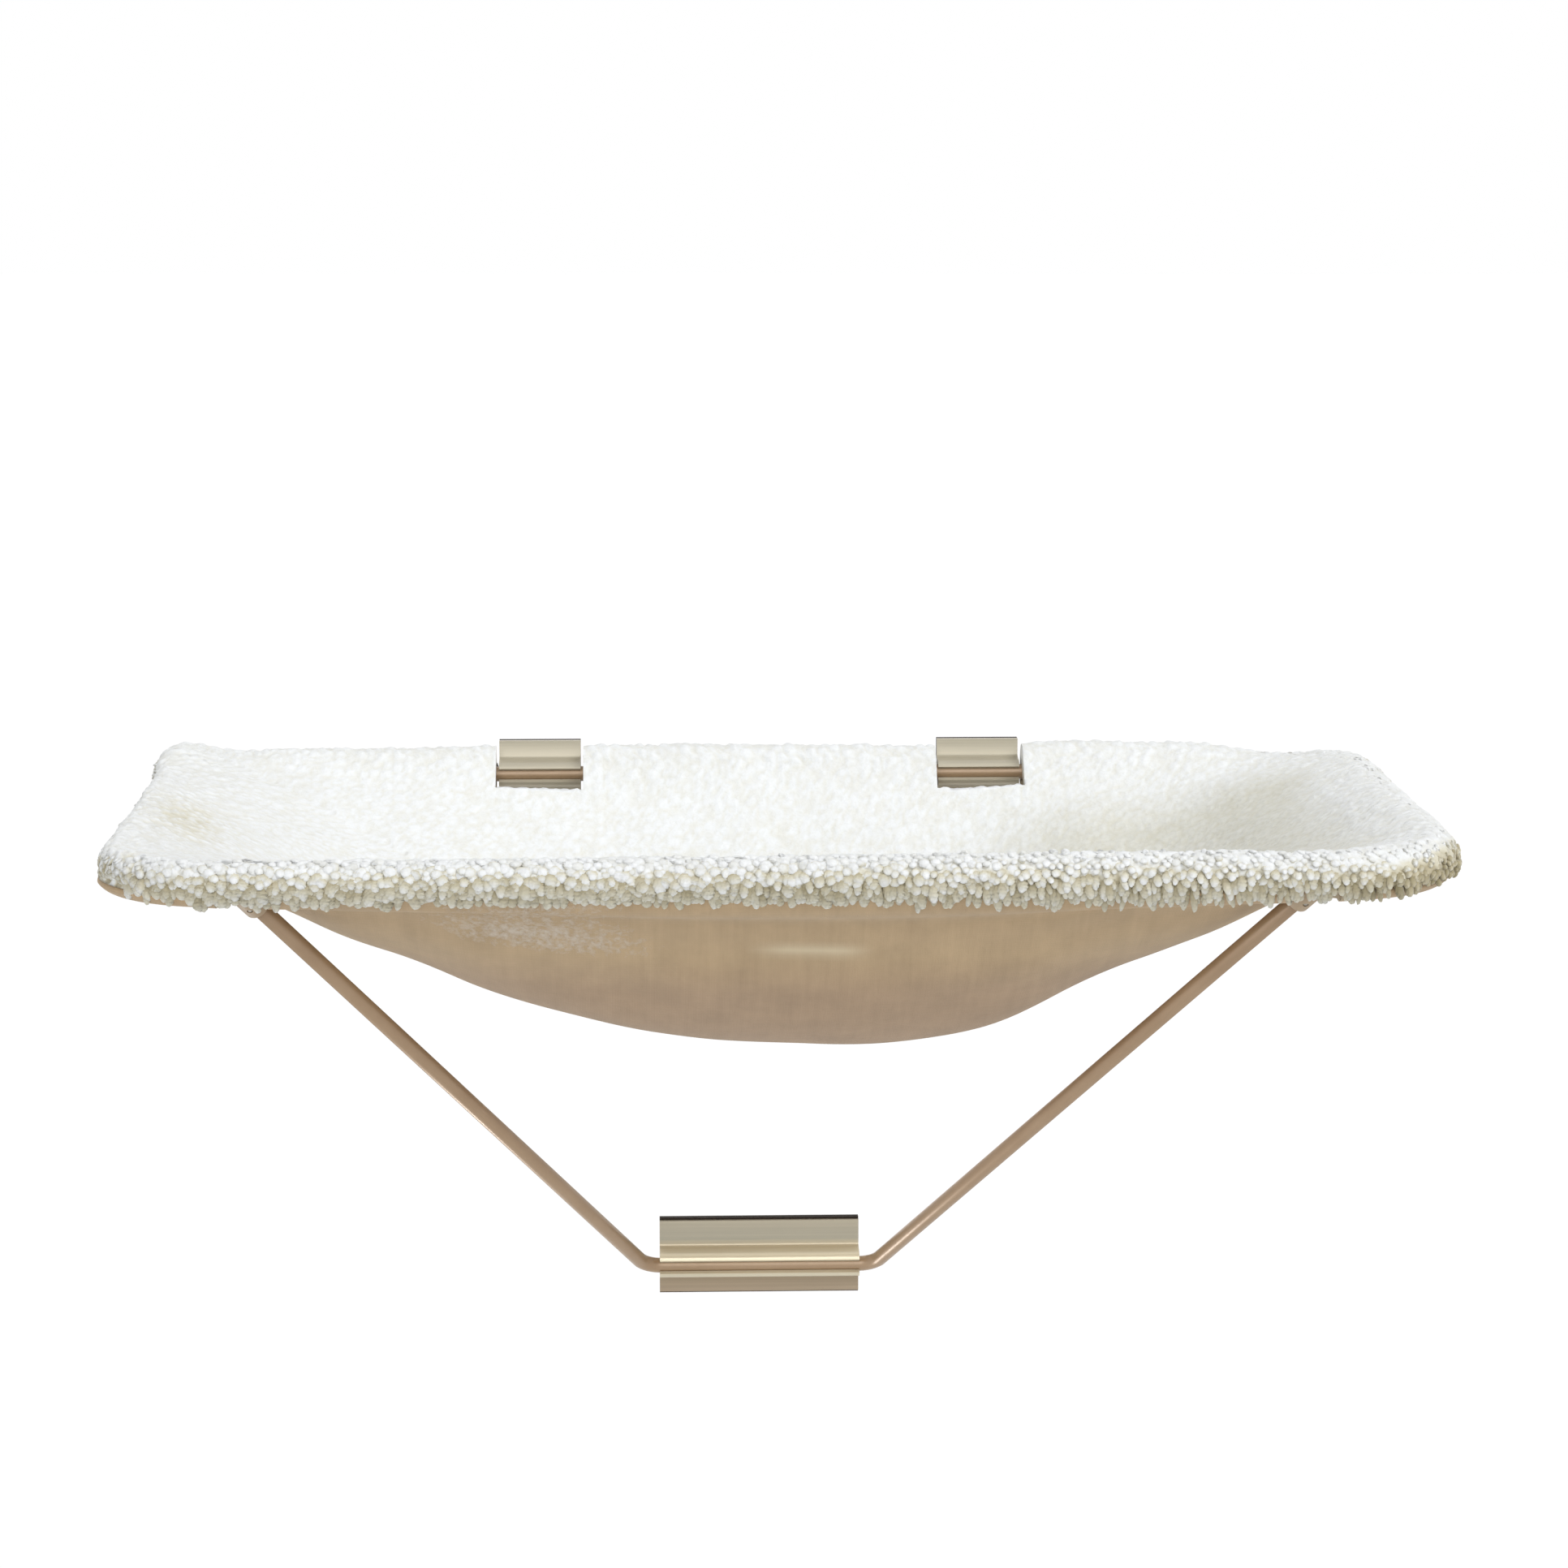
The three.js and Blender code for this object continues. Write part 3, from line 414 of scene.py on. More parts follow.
# Materials
class Look:
    """A small helper for node materials."""

    def __init__(self, name, **values):
        self.material = bpy.data.materials.new(name)
        self.material.use_nodes = True
        self.nodes, self.links = self.material.node_tree.nodes, self.material.node_tree.links
        self.shader = next(n for n in self.nodes if n.type == "BSDF_PRINCIPLED")
        self.place = self.nodes.new("ShaderNodeTexCoord").outputs["Object"]
        for key, value in values.items():
            self.set(key.replace("_", " "), value)

    def set(self, socket, value):
        self.shader.inputs[socket].default_value = value

    def node(self, kind, **values):
        node = self.nodes.new("ShaderNode" + kind)
        for key, value in values.items():
            node.inputs[key].default_value = value
        return node

    def stretched(self, scale):
        node = self.node("Mapping", Scale=scale)
        self.links.new(self.place, node.inputs["Vector"])
        return node.outputs["Vector"]

    def noise(self, scale, detail=3, roughness=0.5, vector=None, distortion=0.0):
        node = self.node("TexNoise", Scale=scale, Detail=detail, Roughness=roughness, Distortion=distortion)
        self.links.new(vector or self.place, node.inputs["Vector"])
        return node.outputs["Fac"]

    def cells(self, scale, smooth=None):
        node = self.node("TexVoronoi", Scale=scale)
        if smooth:
            node.feature = "SMOOTH_F1"
            node.inputs["Smoothness"].default_value = smooth
        self.links.new(self.place, node.inputs["Vector"])
        return node.outputs["Distance"]

    def wave(self, scale, direction, distortion):
        node = self.node("TexWave", Scale=scale, Distortion=distortion, Detail=1)
        node.bands_direction = direction
        self.links.new(self.place, node.inputs["Vector"])
        return node.outputs["Fac"]

    def ramp(self, value, *stops):
        """A colour or grey ramp from stops of (place, colour or grey)."""
        node = self.node("ValToRGB")
        elements = node.color_ramp.elements
        while len(elements) < len(stops):
            elements.new(0.5)
        for element, (place, colour) in zip(elements, stops):
            element.position = place
            element.color = (*colour, 1) if hasattr(colour, "__len__") else (colour, colour, colour, 1)
        self.links.new(value, node.inputs["Fac"])
        return node.outputs["Color"]

    def feed(self, socket, value):
        """Sets a socket to a number or a colour, or links a node's output to it."""
        if isinstance(value, (int, float)):
            socket.default_value = value
        elif hasattr(value, "__len__"):
            socket.default_value = (*value, 1)
        else:
            self.links.new(value, socket)

    def math(self, kind, a, b):
        node = self.node("Math")
        node.operation = kind
        self.feed(node.inputs[0], a)
        self.feed(node.inputs[1], b)
        return node.outputs[0]

    def mix(self, kind, factor, a, b):
        node = self.node("Mix")
        node.data_type, node.blend_type = "RGBA", kind
        for place, value in ((0, factor), (6, a), (7, b)):
            self.feed(node.inputs[place], value)
        return node.outputs[2]

    def times(self, first, *others):
        for other in others:
            first = self.mix("MULTIPLY", 1.0, first, other)
        return first

    def attribute(self, name):
        """The three values of a colour attribute."""
        node = self.node("Attribute")
        node.attribute_name = name
        split = self.node("SeparateColor")
        self.links.new(node.outputs["Color"], split.inputs[0])
        return split.outputs

    def colour(self, value):
        self.links.new(value, self.shader.inputs["Base Color"])

    def roughness(self, value):
        self.links.new(value, self.shader.inputs["Roughness"])

    def bump(self, *layers):
        """Bump layers of (height, strength, distance in metres), one on another."""
        previous = None
        for height, strength, distance in layers:
            node = self.node("Bump", Strength=strength, Distance=distance)
            self.links.new(height, node.inputs["Height"])
            if previous:
                self.links.new(previous, node.inputs["Normal"])
            previous = node.outputs["Normal"]
        self.links.new(previous, self.shader.inputs["Normal"])


def fleece_look(name, nub_size, depth, glow=0.0):
    """White wool pile with painted shade, beige down in the crevices. nub_size is per metre, depth in
    metres.
    """
    look = Look(name, Roughness=0.95, Specular_IOR_Level=0.12,
                Sheen_Weight=0.3, Sheen_Roughness=0.5, Sheen_Tint=(1.0, 0.995, 0.97, 1),
                Subsurface_Weight=glow, Subsurface_Radius=(1.0, 0.95, 0.85), Subsurface_Scale=0.003)
    pile, tint, _ = look.attribute("pile")
    base = look.ramp(pile, (0.0, (0.34, 0.295, 0.18)), (0.3, (0.53, 0.475, 0.335)),
                     (0.55, (0.73, 0.70, 0.58)), (0.8, (0.865, 0.885, 0.90)), (1.0, (0.92, 0.935, 0.955)))
    # The tint darkens and warms the pile: painted shade on the bed's right slope, and tone that differs at
    # random
    shade = look.ramp(tint, (0.0, (0.82, 0.80, 0.72)), (0.6, (0.97, 0.97, 0.96)), (1.0, (1.0, 1.0, 1.0)))
    mottle = look.ramp(look.noise(70, 5, 0.65), (0.3, (0.97, 0.968, 0.962)), (0.65, (1.0, 1.0, 1.0)))
    crimp = look.noise(420, 4, 0.65, distortion=1.2)
    threads = look.ramp(crimp, (0.32, (0.94, 0.935, 0.915)), (0.55, (1.0, 1.0, 1.0)))
    look.colour(look.times(base, shade, mottle, threads))
    look.bump((look.cells(nub_size, smooth=0.5), 0.3, depth), (crimp, 0.35, depth * 0.45))
    return look.material


def suede_look():
    """Tan brushed weave with painted shade that darkens it down in the bowl, a fuzzy patch, and a painted
    highlight along a crease.
    """
    look = Look("tan_suede", Roughness=0.92, Specular_IOR_Level=0.2,
                Sheen_Weight=0.25, Sheen_Roughness=0.5, Sheen_Tint=(0.95, 0.88, 0.78, 1))
    drop, fuzz, crease = look.attribute("cloth")
    # Painted shade: darker down in the bowl, where the backing faces down
    base = look.ramp(drop, (0.0, (0.52, 0.385, 0.24)), (0.4, (0.52, 0.39, 0.245)),
                     (0.6, (0.44, 0.315, 0.21)), (1.0, (0.415, 0.29, 0.195)))
    mottle = look.ramp(look.noise(45, 5, 0.6), (0.3, (0.9, 0.89, 0.88)), (0.7, (1.06, 1.05, 1.03)))
    weave, across = look.wave(420, "X", 1.2), look.wave(300, "Z", 1.5)
    thread = look.ramp(look.math("MULTIPLY", weave, across),
                       (0.0, (0.965, 0.96, 0.955)), (0.6, (1.01, 1.01, 1.01)))
    nap = look.ramp(look.noise(1.0, 4, 0.65, look.stretched((230, 16, 16))),
                    (0.3, (0.94, 0.935, 0.93)), (0.7, (1.05, 1.05, 1.05)))
    coloured = look.times(base, mottle, thread, nap)
    flecks = look.math("MULTIPLY", fuzz, look.noise(1.0, 3, 0.6, look.stretched((330, 330, 170))))
    pale = look.ramp(flecks, (0.33, 0.0), (0.60, 1.0))
    coloured = look.mix("MIX", look.math("MULTIPLY", pale, 0.85), coloured, (0.66, 0.585, 0.50))
    # A painted highlight along the crease
    look.colour(look.mix("MIX", look.math("MULTIPLY", crease, 0.75), coloured, (0.72, 0.62, 0.44)))
    look.bump((weave, 0.12, 0.0003), (look.noise(260, 4, 0.6), 0.35, 0.0006), (pale, 0.6, 0.0012))
    return look.material


def rail_look(name, colour, bands=None):
    """Satin metal drawn along X. bands are the stops of its tone from the profile's foot to its top, painted
    light, shade and reflection.
    """
    look = Look(name, Metallic=0.3)
    streak = look.noise(1.0, 3, 0.6, look.stretched((6, 900, 900)))
    dark, light = tuple(0.93 * c for c in colour), tuple(min(1, 1.05 * c) for c in colour)
    tone = look.ramp(streak, (0.3, dark), (0.7, light))
    cloud = look.ramp(look.noise(30, 3), (0.3, (0.96, 0.96, 0.96)), (0.7, (1.0, 1.0, 1.0)))
    coloured = look.times(tone, cloud)
    if bands:
        split = look.node("SeparateXYZ")
        look.links.new(look.place, split.inputs[0])
        above_foot = look.math("SUBTRACT", split.outputs["Z"], -RAIL_HEIGHT / 2 * MM)
        share = look.math("DIVIDE", above_foot, RAIL_HEIGHT * MM)
        coloured = look.times(coloured, look.ramp(share, *bands))
    look.colour(coloured)
    look.roughness(look.ramp(streak, (0.3, 0.33), (0.7, 0.45)))
    look.bump((streak, 0.08, 0.0001))
    return look.material


def rod_look():
    look = Look("champagne_rod", Metallic=0.2, Coat_Weight=0.35, Coat_Roughness=0.22)
    look.colour(look.ramp(look.noise(26, 4, 0.6), (0.3, (0.36, 0.238, 0.137)), (0.7, (0.408, 0.28, 0.17))))
    look.roughness(look.ramp(look.noise(240, 3), (0.3, 0.36), (0.7, 0.44)))
    look.bump((look.noise(900, 2), 0.03, 0.0001))
    return look.material


def foam_look():
    look = Look("dark_foam", Roughness=0.95)
    cells = look.cells(1400)
    look.colour(look.ramp(cells, (0.0, (0.012, 0.009, 0.007)), (0.7, (0.035, 0.025, 0.018))))
    look.bump((cells, 0.5, 0.0005))
    return look.material


def plastic_look():
    look = Look("tan_plastic", Roughness=0.5)
    look.colour(look.ramp(look.noise(80, 4), (0.3, (0.42, 0.31, 0.20)), (0.7, (0.46, 0.35, 0.23))))
    look.bump((look.noise(1500, 2), 0.2, 0.0002))
    return look.material


def steel_look():
    look = Look("plated_steel", Metallic=1.0)
    look.colour(look.ramp(look.noise(300, 4), (0.3, (0.30, 0.28, 0.24)), (0.7, (0.42, 0.40, 0.35))))
    look.roughness(look.ramp(look.noise(500, 3), (0.3, 0.42), (0.7, 0.55)))
    look.bump((look.noise(2500, 2), 0.1, 0.0001))
    return look.material


# The fleece: its sheet, and the curls on its roll
def fleece_sheet():
    sheet = Sheet(*FLEECE_GRID)
    show = sheet.skin(ROLL_RADIUS)
    shares = np.linspace(0, 1, FLEECE_RINGS + 1)[1:]
    angles = [sheet.ring_angles(share, 0, HEM_ANGLE) for share in shares]
    rings = [sheet.ring(angle, roll_radius(angle)[:, None]) for angle in angles]
    lip = [sheet.ring(angles[-1], radius) for radius in (6.2, 5.2, SLEEVE_RADIUS)]
    inner = [sheet.ring(sheet.ring_angles(share, 0, HEM_ANGLE), SLEEVE_RADIUS) for share in (0.66, 0.33, 0)]
    points, quads, triangles = sheet.build(show, [*rings, *lip, *inner],
                                           lambda share: np.full(len(share), SLEEVE_RADIUS), False)
    bed_count, shown = len(show), len(show) + len(rings) * sheet.count
    top, normal = points[:shown], normals_of(points, quads)[:shown]

    # How much each point belongs to the roll, and how much of its height it keeps towards the hem
    roll = np.concatenate([smoothstep(sheet.share, 0.86, 1.0), np.ones(shown - bed_count)])
    kept = np.concatenate([np.ones(bed_count), np.repeat(1 - smoothstep(shares, 0.93, 1.0), sheet.count)])
    nubs, soft = lumps(top, NUB_SIZE, seed=1), waves(top, SOFT_SIZE, seed=2)
    slow, fold = waves(top, SLOW_SIZE, seed=3), waves(top * [0.35, 1.0, 0.6], FOLD_SIZE, seed=6)
    in_hollow = hollow(top)
    bed = (BED_NUBS + HOLLOW_NUBS * in_hollow) * (nubs - 0.6) + BED_FOLDS * fold + BED_SLOW * slow
    bed -= HOLLOW_DEPTH * in_hollow
    rim = ROLL_NUBS * (nubs - 0.55) + ROLL_SOFT * soft + ROLL_SLOW * slow
    height = (1 - roll) * bed + roll * rim
    height += roll * swell(top, np.clip(normal[:, 2], 0, 1) ** 2)
    top += normal * (height * kept)[:, None]

    # How light the pile is, and how white rather than cream. Both carry painted shade: between the nubs, on
    # the roll's underside, at the roll's front right end, in the hollows and on the bed's right slope
    pile, tint = np.full(len(points), 0.35), np.full(len(points), 0.8)
    # Painted shade between the bed's nubs
    pile[:shown] = np.clip(0.77 + 0.16 * (nubs - 0.5), 0, 1)
    # Painted shade on the roll's underside and between its nubs
    under = np.repeat(smoothstep(shares, 0.45, 0.9), sheet.count)
    pile[bed_count:shown] -= 0.5 * under * (1.1 - nubs[bed_count:])
    pile[:shown] -= shaded(top, normal[:, 2])
    # Painted shade down in the hollows
    pile[:shown] -= (0.06 + 0.2 * (1 - nubs)) * hollow(top)
    # Painted shade on the bed's right slope: darker and creamier there
    right_slope_shade = smoothstep(top[:, 0], 60, 150) * (1 - smoothstep(top[:, 1], 90, 140)) * (1 - roll)
    tint[:shown] = 0.84 + 0.16 * waves(top, 60, seed=5) - 0.8 * right_slope_shade
    obj = sheet_object("sling_fleece_sheet", points, quads, triangles)
    add_attribute(obj, "pile", np.column_stack([pile, tint, np.zeros(len(points))]))
    return obj


def beside_rail(place):
    """True where a rear rail takes the roll's place."""
    half = RAIL_LENGTH / 2 + NOTCH_MARGIN + CURL_CLEARANCE
    beside = np.abs(np.abs(place[:, 0]) - RAIL_SPACING / 2) < half
    return beside & (place[:, 1] > HALF_DEPTH - 8)


def curl_places(rng, side, spacing, rows):
    """Where curls grow on a side: roots, outward and sideways directions, and angles round the rod."""
    rod = rim_points(side, np.linspace(0, 1, 400))[0]
    run = np.linalg.norm(np.diff(rod, axis=0), axis=1).sum()
    number = max(2, int(run / spacing))
    found = []
    for row, degrees in enumerate(rows):
        t = (np.arange(number) + 0.5 * (row % 2) + rng.uniform(-0.32, 0.32, number)) / number
        reach, inward = rim_points(side, np.clip(t, 0.0005, 0.9995))
        angle = math.radians(degrees) + rng.normal(0, math.radians(4), number)
        out = turned(inward, angle)
        bulge = swell(reach, np.clip(out[:, 2], 0, 1) ** 2)[:, None]
        root = lying(reach) + (roll_radius(angle)[:, None] + bulge - CURL_ROOT_DEPTH) * out
        found.append((root, out, np.cross(np.tile(UP, (number, 1)), lying(inward)), angle))
    return [np.concatenate(parts) for parts in zip(*found)]


def curl_faces():
    """The triangles of one curl: its sides, and the fans round its root and its tip."""
    rings, sides = len(CURL_RINGS), CURL_SIDES
    root, tip, last = rings * sides, rings * sides + 1, (rings - 1) * sides
    faces = []
    for k in range(rings - 1):
        for s in range(sides):
            a, b = k * sides + s, k * sides + (s + 1) % sides
            faces += [(a, b, b + sides), (a, b + sides, a + sides)]
    for s in range(sides):
        following = (s + 1) % sides
        faces += [(following, s, root), (last + s, last + following, tip)]
    return np.array(faces)


def curls(name, side, rows, spacing, length, width, seed, drop):
    """Curls on one side of the roll. drop is how much they hang, and rows are degrees round the rod."""
    rng = np.random.default_rng(seed)
    root, out, tangent, angle = curl_places(rng, side, spacing, rows)
    n, x = len(root), root[:, 0]
    low = smoothstep(angle, math.radians(120), math.radians(195))
    right_half, right_end = smoothstep(x, -50, 150), smoothstep(x, 250, 280)
    long = length * rng.uniform(0.75, 1.2, n) * (0.55 + 0.45 * low)
    long = long * (1 + 0.2 * right_half * smoothstep(-x, -235, -185)) * (1 - 0.3 * right_end)
    wide = width * rng.uniform(0.72, 1.3, n) * (1 - 0.3 * right_half)
    # The hem's underside has no curls near the two ends
    bare = np.radians(210 - 20 * smoothstep(-x, 236, 262) - 12 * smoothstep(x, 238, 266))
    kept = ~beside_rail(root) & (angle <= bare)

    # Each curl's middle line: it heads out and down, bends and coils a little
    fall = (drop * (0.4 + low))[:, None] * -UP
    heading = unit(out * (0.95 - 0.5 * low)[:, None] + 0.8 * fall + rng.normal(0, 0.13, (n, 3)))
    bend = fall * 0.9 + rng.normal(0, 0.18, (n, 3))
    phase = rng.uniform(0, 2 * math.pi, n)
    turn = rng.choice([-1, 1], n) * rng.uniform(2.0, 4.5, n)
    side_a = unit(tangent - heading * (tangent * heading).sum(1, keepdims=True))
    side_b = np.cross(heading, side_a)
    rings, sides = len(CURL_RINGS), CURL_SIDES
    points, faced = np.zeros((n, rings, sides, 3)), np.zeros((n, rings, sides, 3))
    for k, (t, share) in enumerate(zip(CURL_RINGS, CURL_PROFILE)):
        coil, radius = phase + turn * t, 0.10 * wide * t
        centre = root + heading * (long * t)[:, None] + bend * (long * 0.5 * t * t)[:, None]
        centre = centre + side_a * (radius * np.cos(coil))[:, None]
        centre = centre + side_b * (radius * np.sin(coil))[:, None]
        for s in range(sides):
            a = 2 * math.pi * s / sides + 0.5 * k
            r = wide / 2 * share * (1 + 0.08 * math.sin(3 * a + k))
            points[:, k, s] = (centre + side_a * (r * math.cos(a))[:, None]
                               + side_b * (0.85 * r * math.sin(a))[:, None])
            across = side_a * math.cos(a) + side_b * math.sin(a)
            faced[:, k, s] = across * (1 - 0.6 * t) + heading * (1.2 * t ** 1.5)
    tips = root + heading * (long * 1.01)[:, None] + bend * (long * 0.51)[:, None]
    ends = [root[:, None] - out[:, None] * 0.4, tips[:, None]]
    points = np.concatenate([points.reshape(n, -1, 3), *ends], axis=1)
    per = rings * sides + 2
    index = (curl_faces()[None] + (np.arange(kept.sum()) * per)[:, None, None]).reshape(-1, 3)
    obj = mesh_object(name, bed_to_frame(points[kept].reshape(-1, 3)), index, "sling_frame")

    # Wool is soft: each curl's shading leans towards the roll's own
    faced = np.concatenate([faced.reshape(n, -1, 3), out[:, None], heading[:, None]], axis=1)
    agree = (faced * out[:, None]).sum(2, keepdims=True)
    side_on = smoothstep(angle, math.radians(112), math.radians(148))
    lean = (side_on * (0.6 - 0.28 * low))[:, None, None] * (0.1 + 0.9 * smoothstep(agree, -0.4, 0.5))
    faced = unit(((1 - lean) * faced + lean * out[:, None]).reshape(-1, 3))
    # The ends are seen from the side, where a lean shows dark edges. A zero vector keeps a point's normal
    own = (np.abs(x) > 265) & (angle > math.radians(120))
    faced[np.repeat(own, per)] = 0
    obj.data.normals_split_custom_set_from_vertices([tuple(v) for v in faced[np.repeat(kept, per)]])

    # Painted shade: curls are dark at the root and light at the tip, and darker on the lower rows and at the
    # roll's front right end
    grow = np.concatenate([np.repeat(CURL_RINGS, sides), [0.0, 1.0]]) ** 2.0
    tone = rng.uniform(0.35, 1, n)
    inner = np.interp(angle, np.radians(ROOT_PILE[0]), ROOT_PILE[1]) + 0.12 * right_end
    tip = np.interp(angle, np.radians(TIP_PILE[0]), TIP_PILE[1])
    pile = inner[:, None] + (tip - inner)[:, None] * grow[None, :] - shaded(root, out[:, 2])[:, None]
    pile = np.clip(pile + rng.normal(0, 0.04, n)[:, None], 0, 1)[kept].ravel()
    add_attribute(obj, "pile", np.column_stack([pile, np.repeat(tone[kept], per), np.zeros(len(pile))]))
    return obj


# The backing
def hem_share(share):
    """0 over the bed, and 1 in the hem."""
    return smoothstep(share, SEAM_SHARE, SLEEVE_EDGE_SHARE)


def backing_lift(share):
    """Height of the backing's inner skin: just under the fleece over the bed, below the rod in the hem."""
    return -SLEEVE_RADIUS + (2 * SLEEVE_RADIUS - TOUCH_GAP) * (1 - hem_share(share))


def backing_sheet():
    sheet = Sheet(*BACKING_GRID)
    thickness = BACKING_THICKNESS + (HEM_THICKNESS - BACKING_THICKNESS) * hem_share(sheet.share)
    slow = waves(sheet.middle, 55, seed=8) * smoothstep(-sheet.share, -0.9, -0.6) * 1.6
    show = sheet.skin(backing_lift(sheet.share) - thickness + slow)
    # The hem's outside round the rod, thinner at its edge, and then its inside on the way back
    outside = [(share, HEM_THICKNESS) for share in np.linspace(0, 0.9, BACKING_RINGS + 1)[1:]]
    edge = [(0.96, 5.2), (0.99, 4.4), (1.0, 3.2)]
    inside = [(share, 0) for share in (1, 0.6, 0.3, 0)]
    rings = [sheet.ring(sheet.ring_angles(share, math.pi, BACKING_ANGLE), SLEEVE_RADIUS + over)
             for share, over in outside + edge + inside]
    points, quads, triangles = sheet.build(show, rings, backing_lift, True)
    obj = sheet_object("sling_backing_sheet", points, quads, triangles)
    x, y, z = points.T
    front = -y / HALF_DEPTH
    fuzz = smoothstep(front, 0.63, 0.74) * (0.8 + 0.2 * near(front, 0.76, 0.05)) * near(x, -105, 70)
    # A painted highlight along the fold in the front of the bowl
    crease = near(y, -114, 2.2) * smoothstep(x, -16, 6) * smoothstep(-x, -44, -26)
    # The cloth attribute: how far down, for the painted shade in the bowl; the fuzzy patch; and the painted
    # highlight along the crease
    add_attribute(obj, "cloth", np.column_stack([np.clip(-z / SAG, 0, 1), fuzz, crease]))
    return obj


# The cut-outs in the sheets
def cutter_mesh(points, faces):
    mesh = bpy.data.meshes.new("cutter")
    mesh.from_pydata([tuple(p) for p in to_frame(points)], [], faces)
    mesh.update()
    return mesh


def cylinder_mesh(middle, direction, start, stop, radius):
    sides = 32
    direction = np.asarray(direction, float) / np.linalg.norm(direction)
    a = np.cross(direction, UP if abs(direction[2]) < 0.9 else ALONG)
    a /= np.linalg.norm(a)
    b = np.cross(direction, a)
    points = [np.asarray(middle) + direction * d + radius * (a * math.cos(t) + b * math.sin(t))
              for d in (start, stop) for t in np.linspace(0, 2 * math.pi, sides, endpoint=False)]
    faces = [[s, (s + 1) % sides, sides + (s + 1) % sides, sides + s] for s in range(sides)]
    return cutter_mesh(points, faces + [list(range(sides))[::-1], list(range(sides, 2 * sides))])


def box_mesh(low, high):
    corners = [(x, y, z) for x in (low[0], high[0]) for y in (low[1], high[1]) for z in (low[2], high[2])]
    faces = [(0, 1, 3, 2), (4, 6, 7, 5), (0, 4, 5, 1), (2, 3, 7, 6), (0, 2, 6, 4), (1, 5, 7, 3)]
    return cutter_mesh(corners, faces)


def rear_cutters():
    """Room for the rear rails, also while the sling turns up."""
    radius = math.hypot(RAIL_SHORT_FLANGE, RAIL_ROD_OFFSET) + NOTCH_MARGIN
    half = RAIL_LENGTH / 2 + NOTCH_MARGIN
    return [cylinder_mesh([side * RAIL_SPACING / 2, 0, 0], ALONG, -half, half, radius) for side in (-1, 1)]


def saddle_cutters():
    """Room under the front rod for the saddles and the brace's upper ends."""
    tools = []
    half, radius = SADDLE_WIDTH / 2 + NOTCH_MARGIN, SADDLE_RADIUS + NOTCH_MARGIN
    hem = SLEEVE_RADIUS + HEM_THICKNESS
    lean = (TOP_SPACING - BEND_SPACING) / 2 / RIM_HEIGHT
    inner, reach = SOCKET_RADIUS + NOTCH_MARGIN + hem * lean, hem + 2.0
    for side in (-1, 1):
        middle = np.array([side * TOP_SPACING / 2, -RIM_DEPTH, 0.0])
        bend = np.array([side * BEND_SPACING / 2, 0.0, -RIM_HEIGHT])
        down = (bend - middle) / np.linalg.norm(bend - middle)
        tools.append(cylinder_mesh(middle, ALONG, -half, half, radius))
        xs = sorted([middle[0] + side * half, middle[0] - side * inner])
        tools.append(box_mesh([xs[0], middle[1] - reach, -2 * reach], [xs[1], middle[1] + radius, 0.0]))
        socket_end = WIRE_END + SOCKET_LENGTH + NOTCH_MARGIN
        tools.append(cylinder_mesh(middle, down, 0, socket_end, SOCKET_RADIUS + NOTCH_MARGIN))
    return tools


def cut_by(obj, cutters):
    """Cuts closed meshes out of obj and applies the result."""
    for k, cutter in enumerate(cutters):
        tool = add_object(f"cutter_{k}", cutter)
        cut = obj.modifiers.new("cut", "BOOLEAN")
        cut.operation, cut.solver, cut.object = "DIFFERENCE", "MANIFOLD", tool
        graph = bpy.context.evaluated_depsgraph_get()
        new = bpy.data.meshes.new_from_object(obj.evaluated_get(graph))
        obj.modifiers.remove(cut)
        old, obj.data = obj.data, new
        bpy.data.meshes.remove(old)
        bpy.data.objects.remove(tool)


# The brace
def wire_route():
    """The wire's middle line from its left end to its right one, as (place, direction)."""
    route, arc_steps = [], 16
    for side in (-1, 1):
        top = np.array([side * TOP_SPACING / 2, -RIM_DEPTH, RIM_HEIGHT])
        bend = np.array([side * BEND_SPACING / 2, 0.0, 0.0])
        down = bend - top
        down /= np.linalg.norm(down)
        end = top + down * WIRE_END
        into, out = (down, ALONG) if side < 0 else (ALONG, -down)
        angle = math.acos(float(into @ out))
        start = bend - into * BEND_RADIUS * math.tan(angle / 2)
        lateral = out - into * (into @ out)
        lateral /= np.linalg.norm(lateral)
        arc = [(start + BEND_RADIUS * (into * math.sin(a) + lateral * (1 - math.cos(a))),
                into * math.cos(a) + lateral * math.sin(a))
               for a in (angle * k / arc_steps for k in range(arc_steps + 1))]
        route += [(end, down), *arc] if side < 0 else [*arc, (end, -down)]
    return route


def brace_wire():
    route, sides = wire_route(), 28
    points = []
    normal = np.cross(route[0][1], ALONG)
    for place, tangent in route:
        normal = normal - tangent * (normal @ tangent)
        normal /= np.linalg.norm(normal)
        other = np.cross(tangent, normal)
        for a in (2 * math.pi * s / sides for s in range(sides)):
            points.append(place + ROD_RADIUS * (normal * math.cos(a) + other * math.sin(a)))
    faces = []
    for k in range(0, (len(route) - 1) * sides, sides):
        for s in range(sides):
            following = (s + 1) % sides
            faces.append((k + s, k + following, k + sides + following, k + sides + s))
    points = (np.array(points) + [0, -WALL_DISTANCE, CROSS_ROD_Z]) * MM
    obj = mesh_object("brace_wire_bent", points, faces, "brace")
    last = (len(route) - 1) * sides
    bm = bmesh.new()
    bm.from_mesh(obj.data)
    bm.verts.ensure_lookup_table()
    for cap in (range(sides - 1, -1, -1), range(last, last + sides)):
        bm.faces.new([bm.verts[i] for i in cap])
    bmesh.ops.recalc_face_normals(bm, faces=bm.faces)
    bm.to_mesh(obj.data)
    bm.free()
    return obj


def dress(obj, material):
    """Gives a node or piece its one material."""
    obj.data.materials.clear()
    obj.data.materials.append(material)


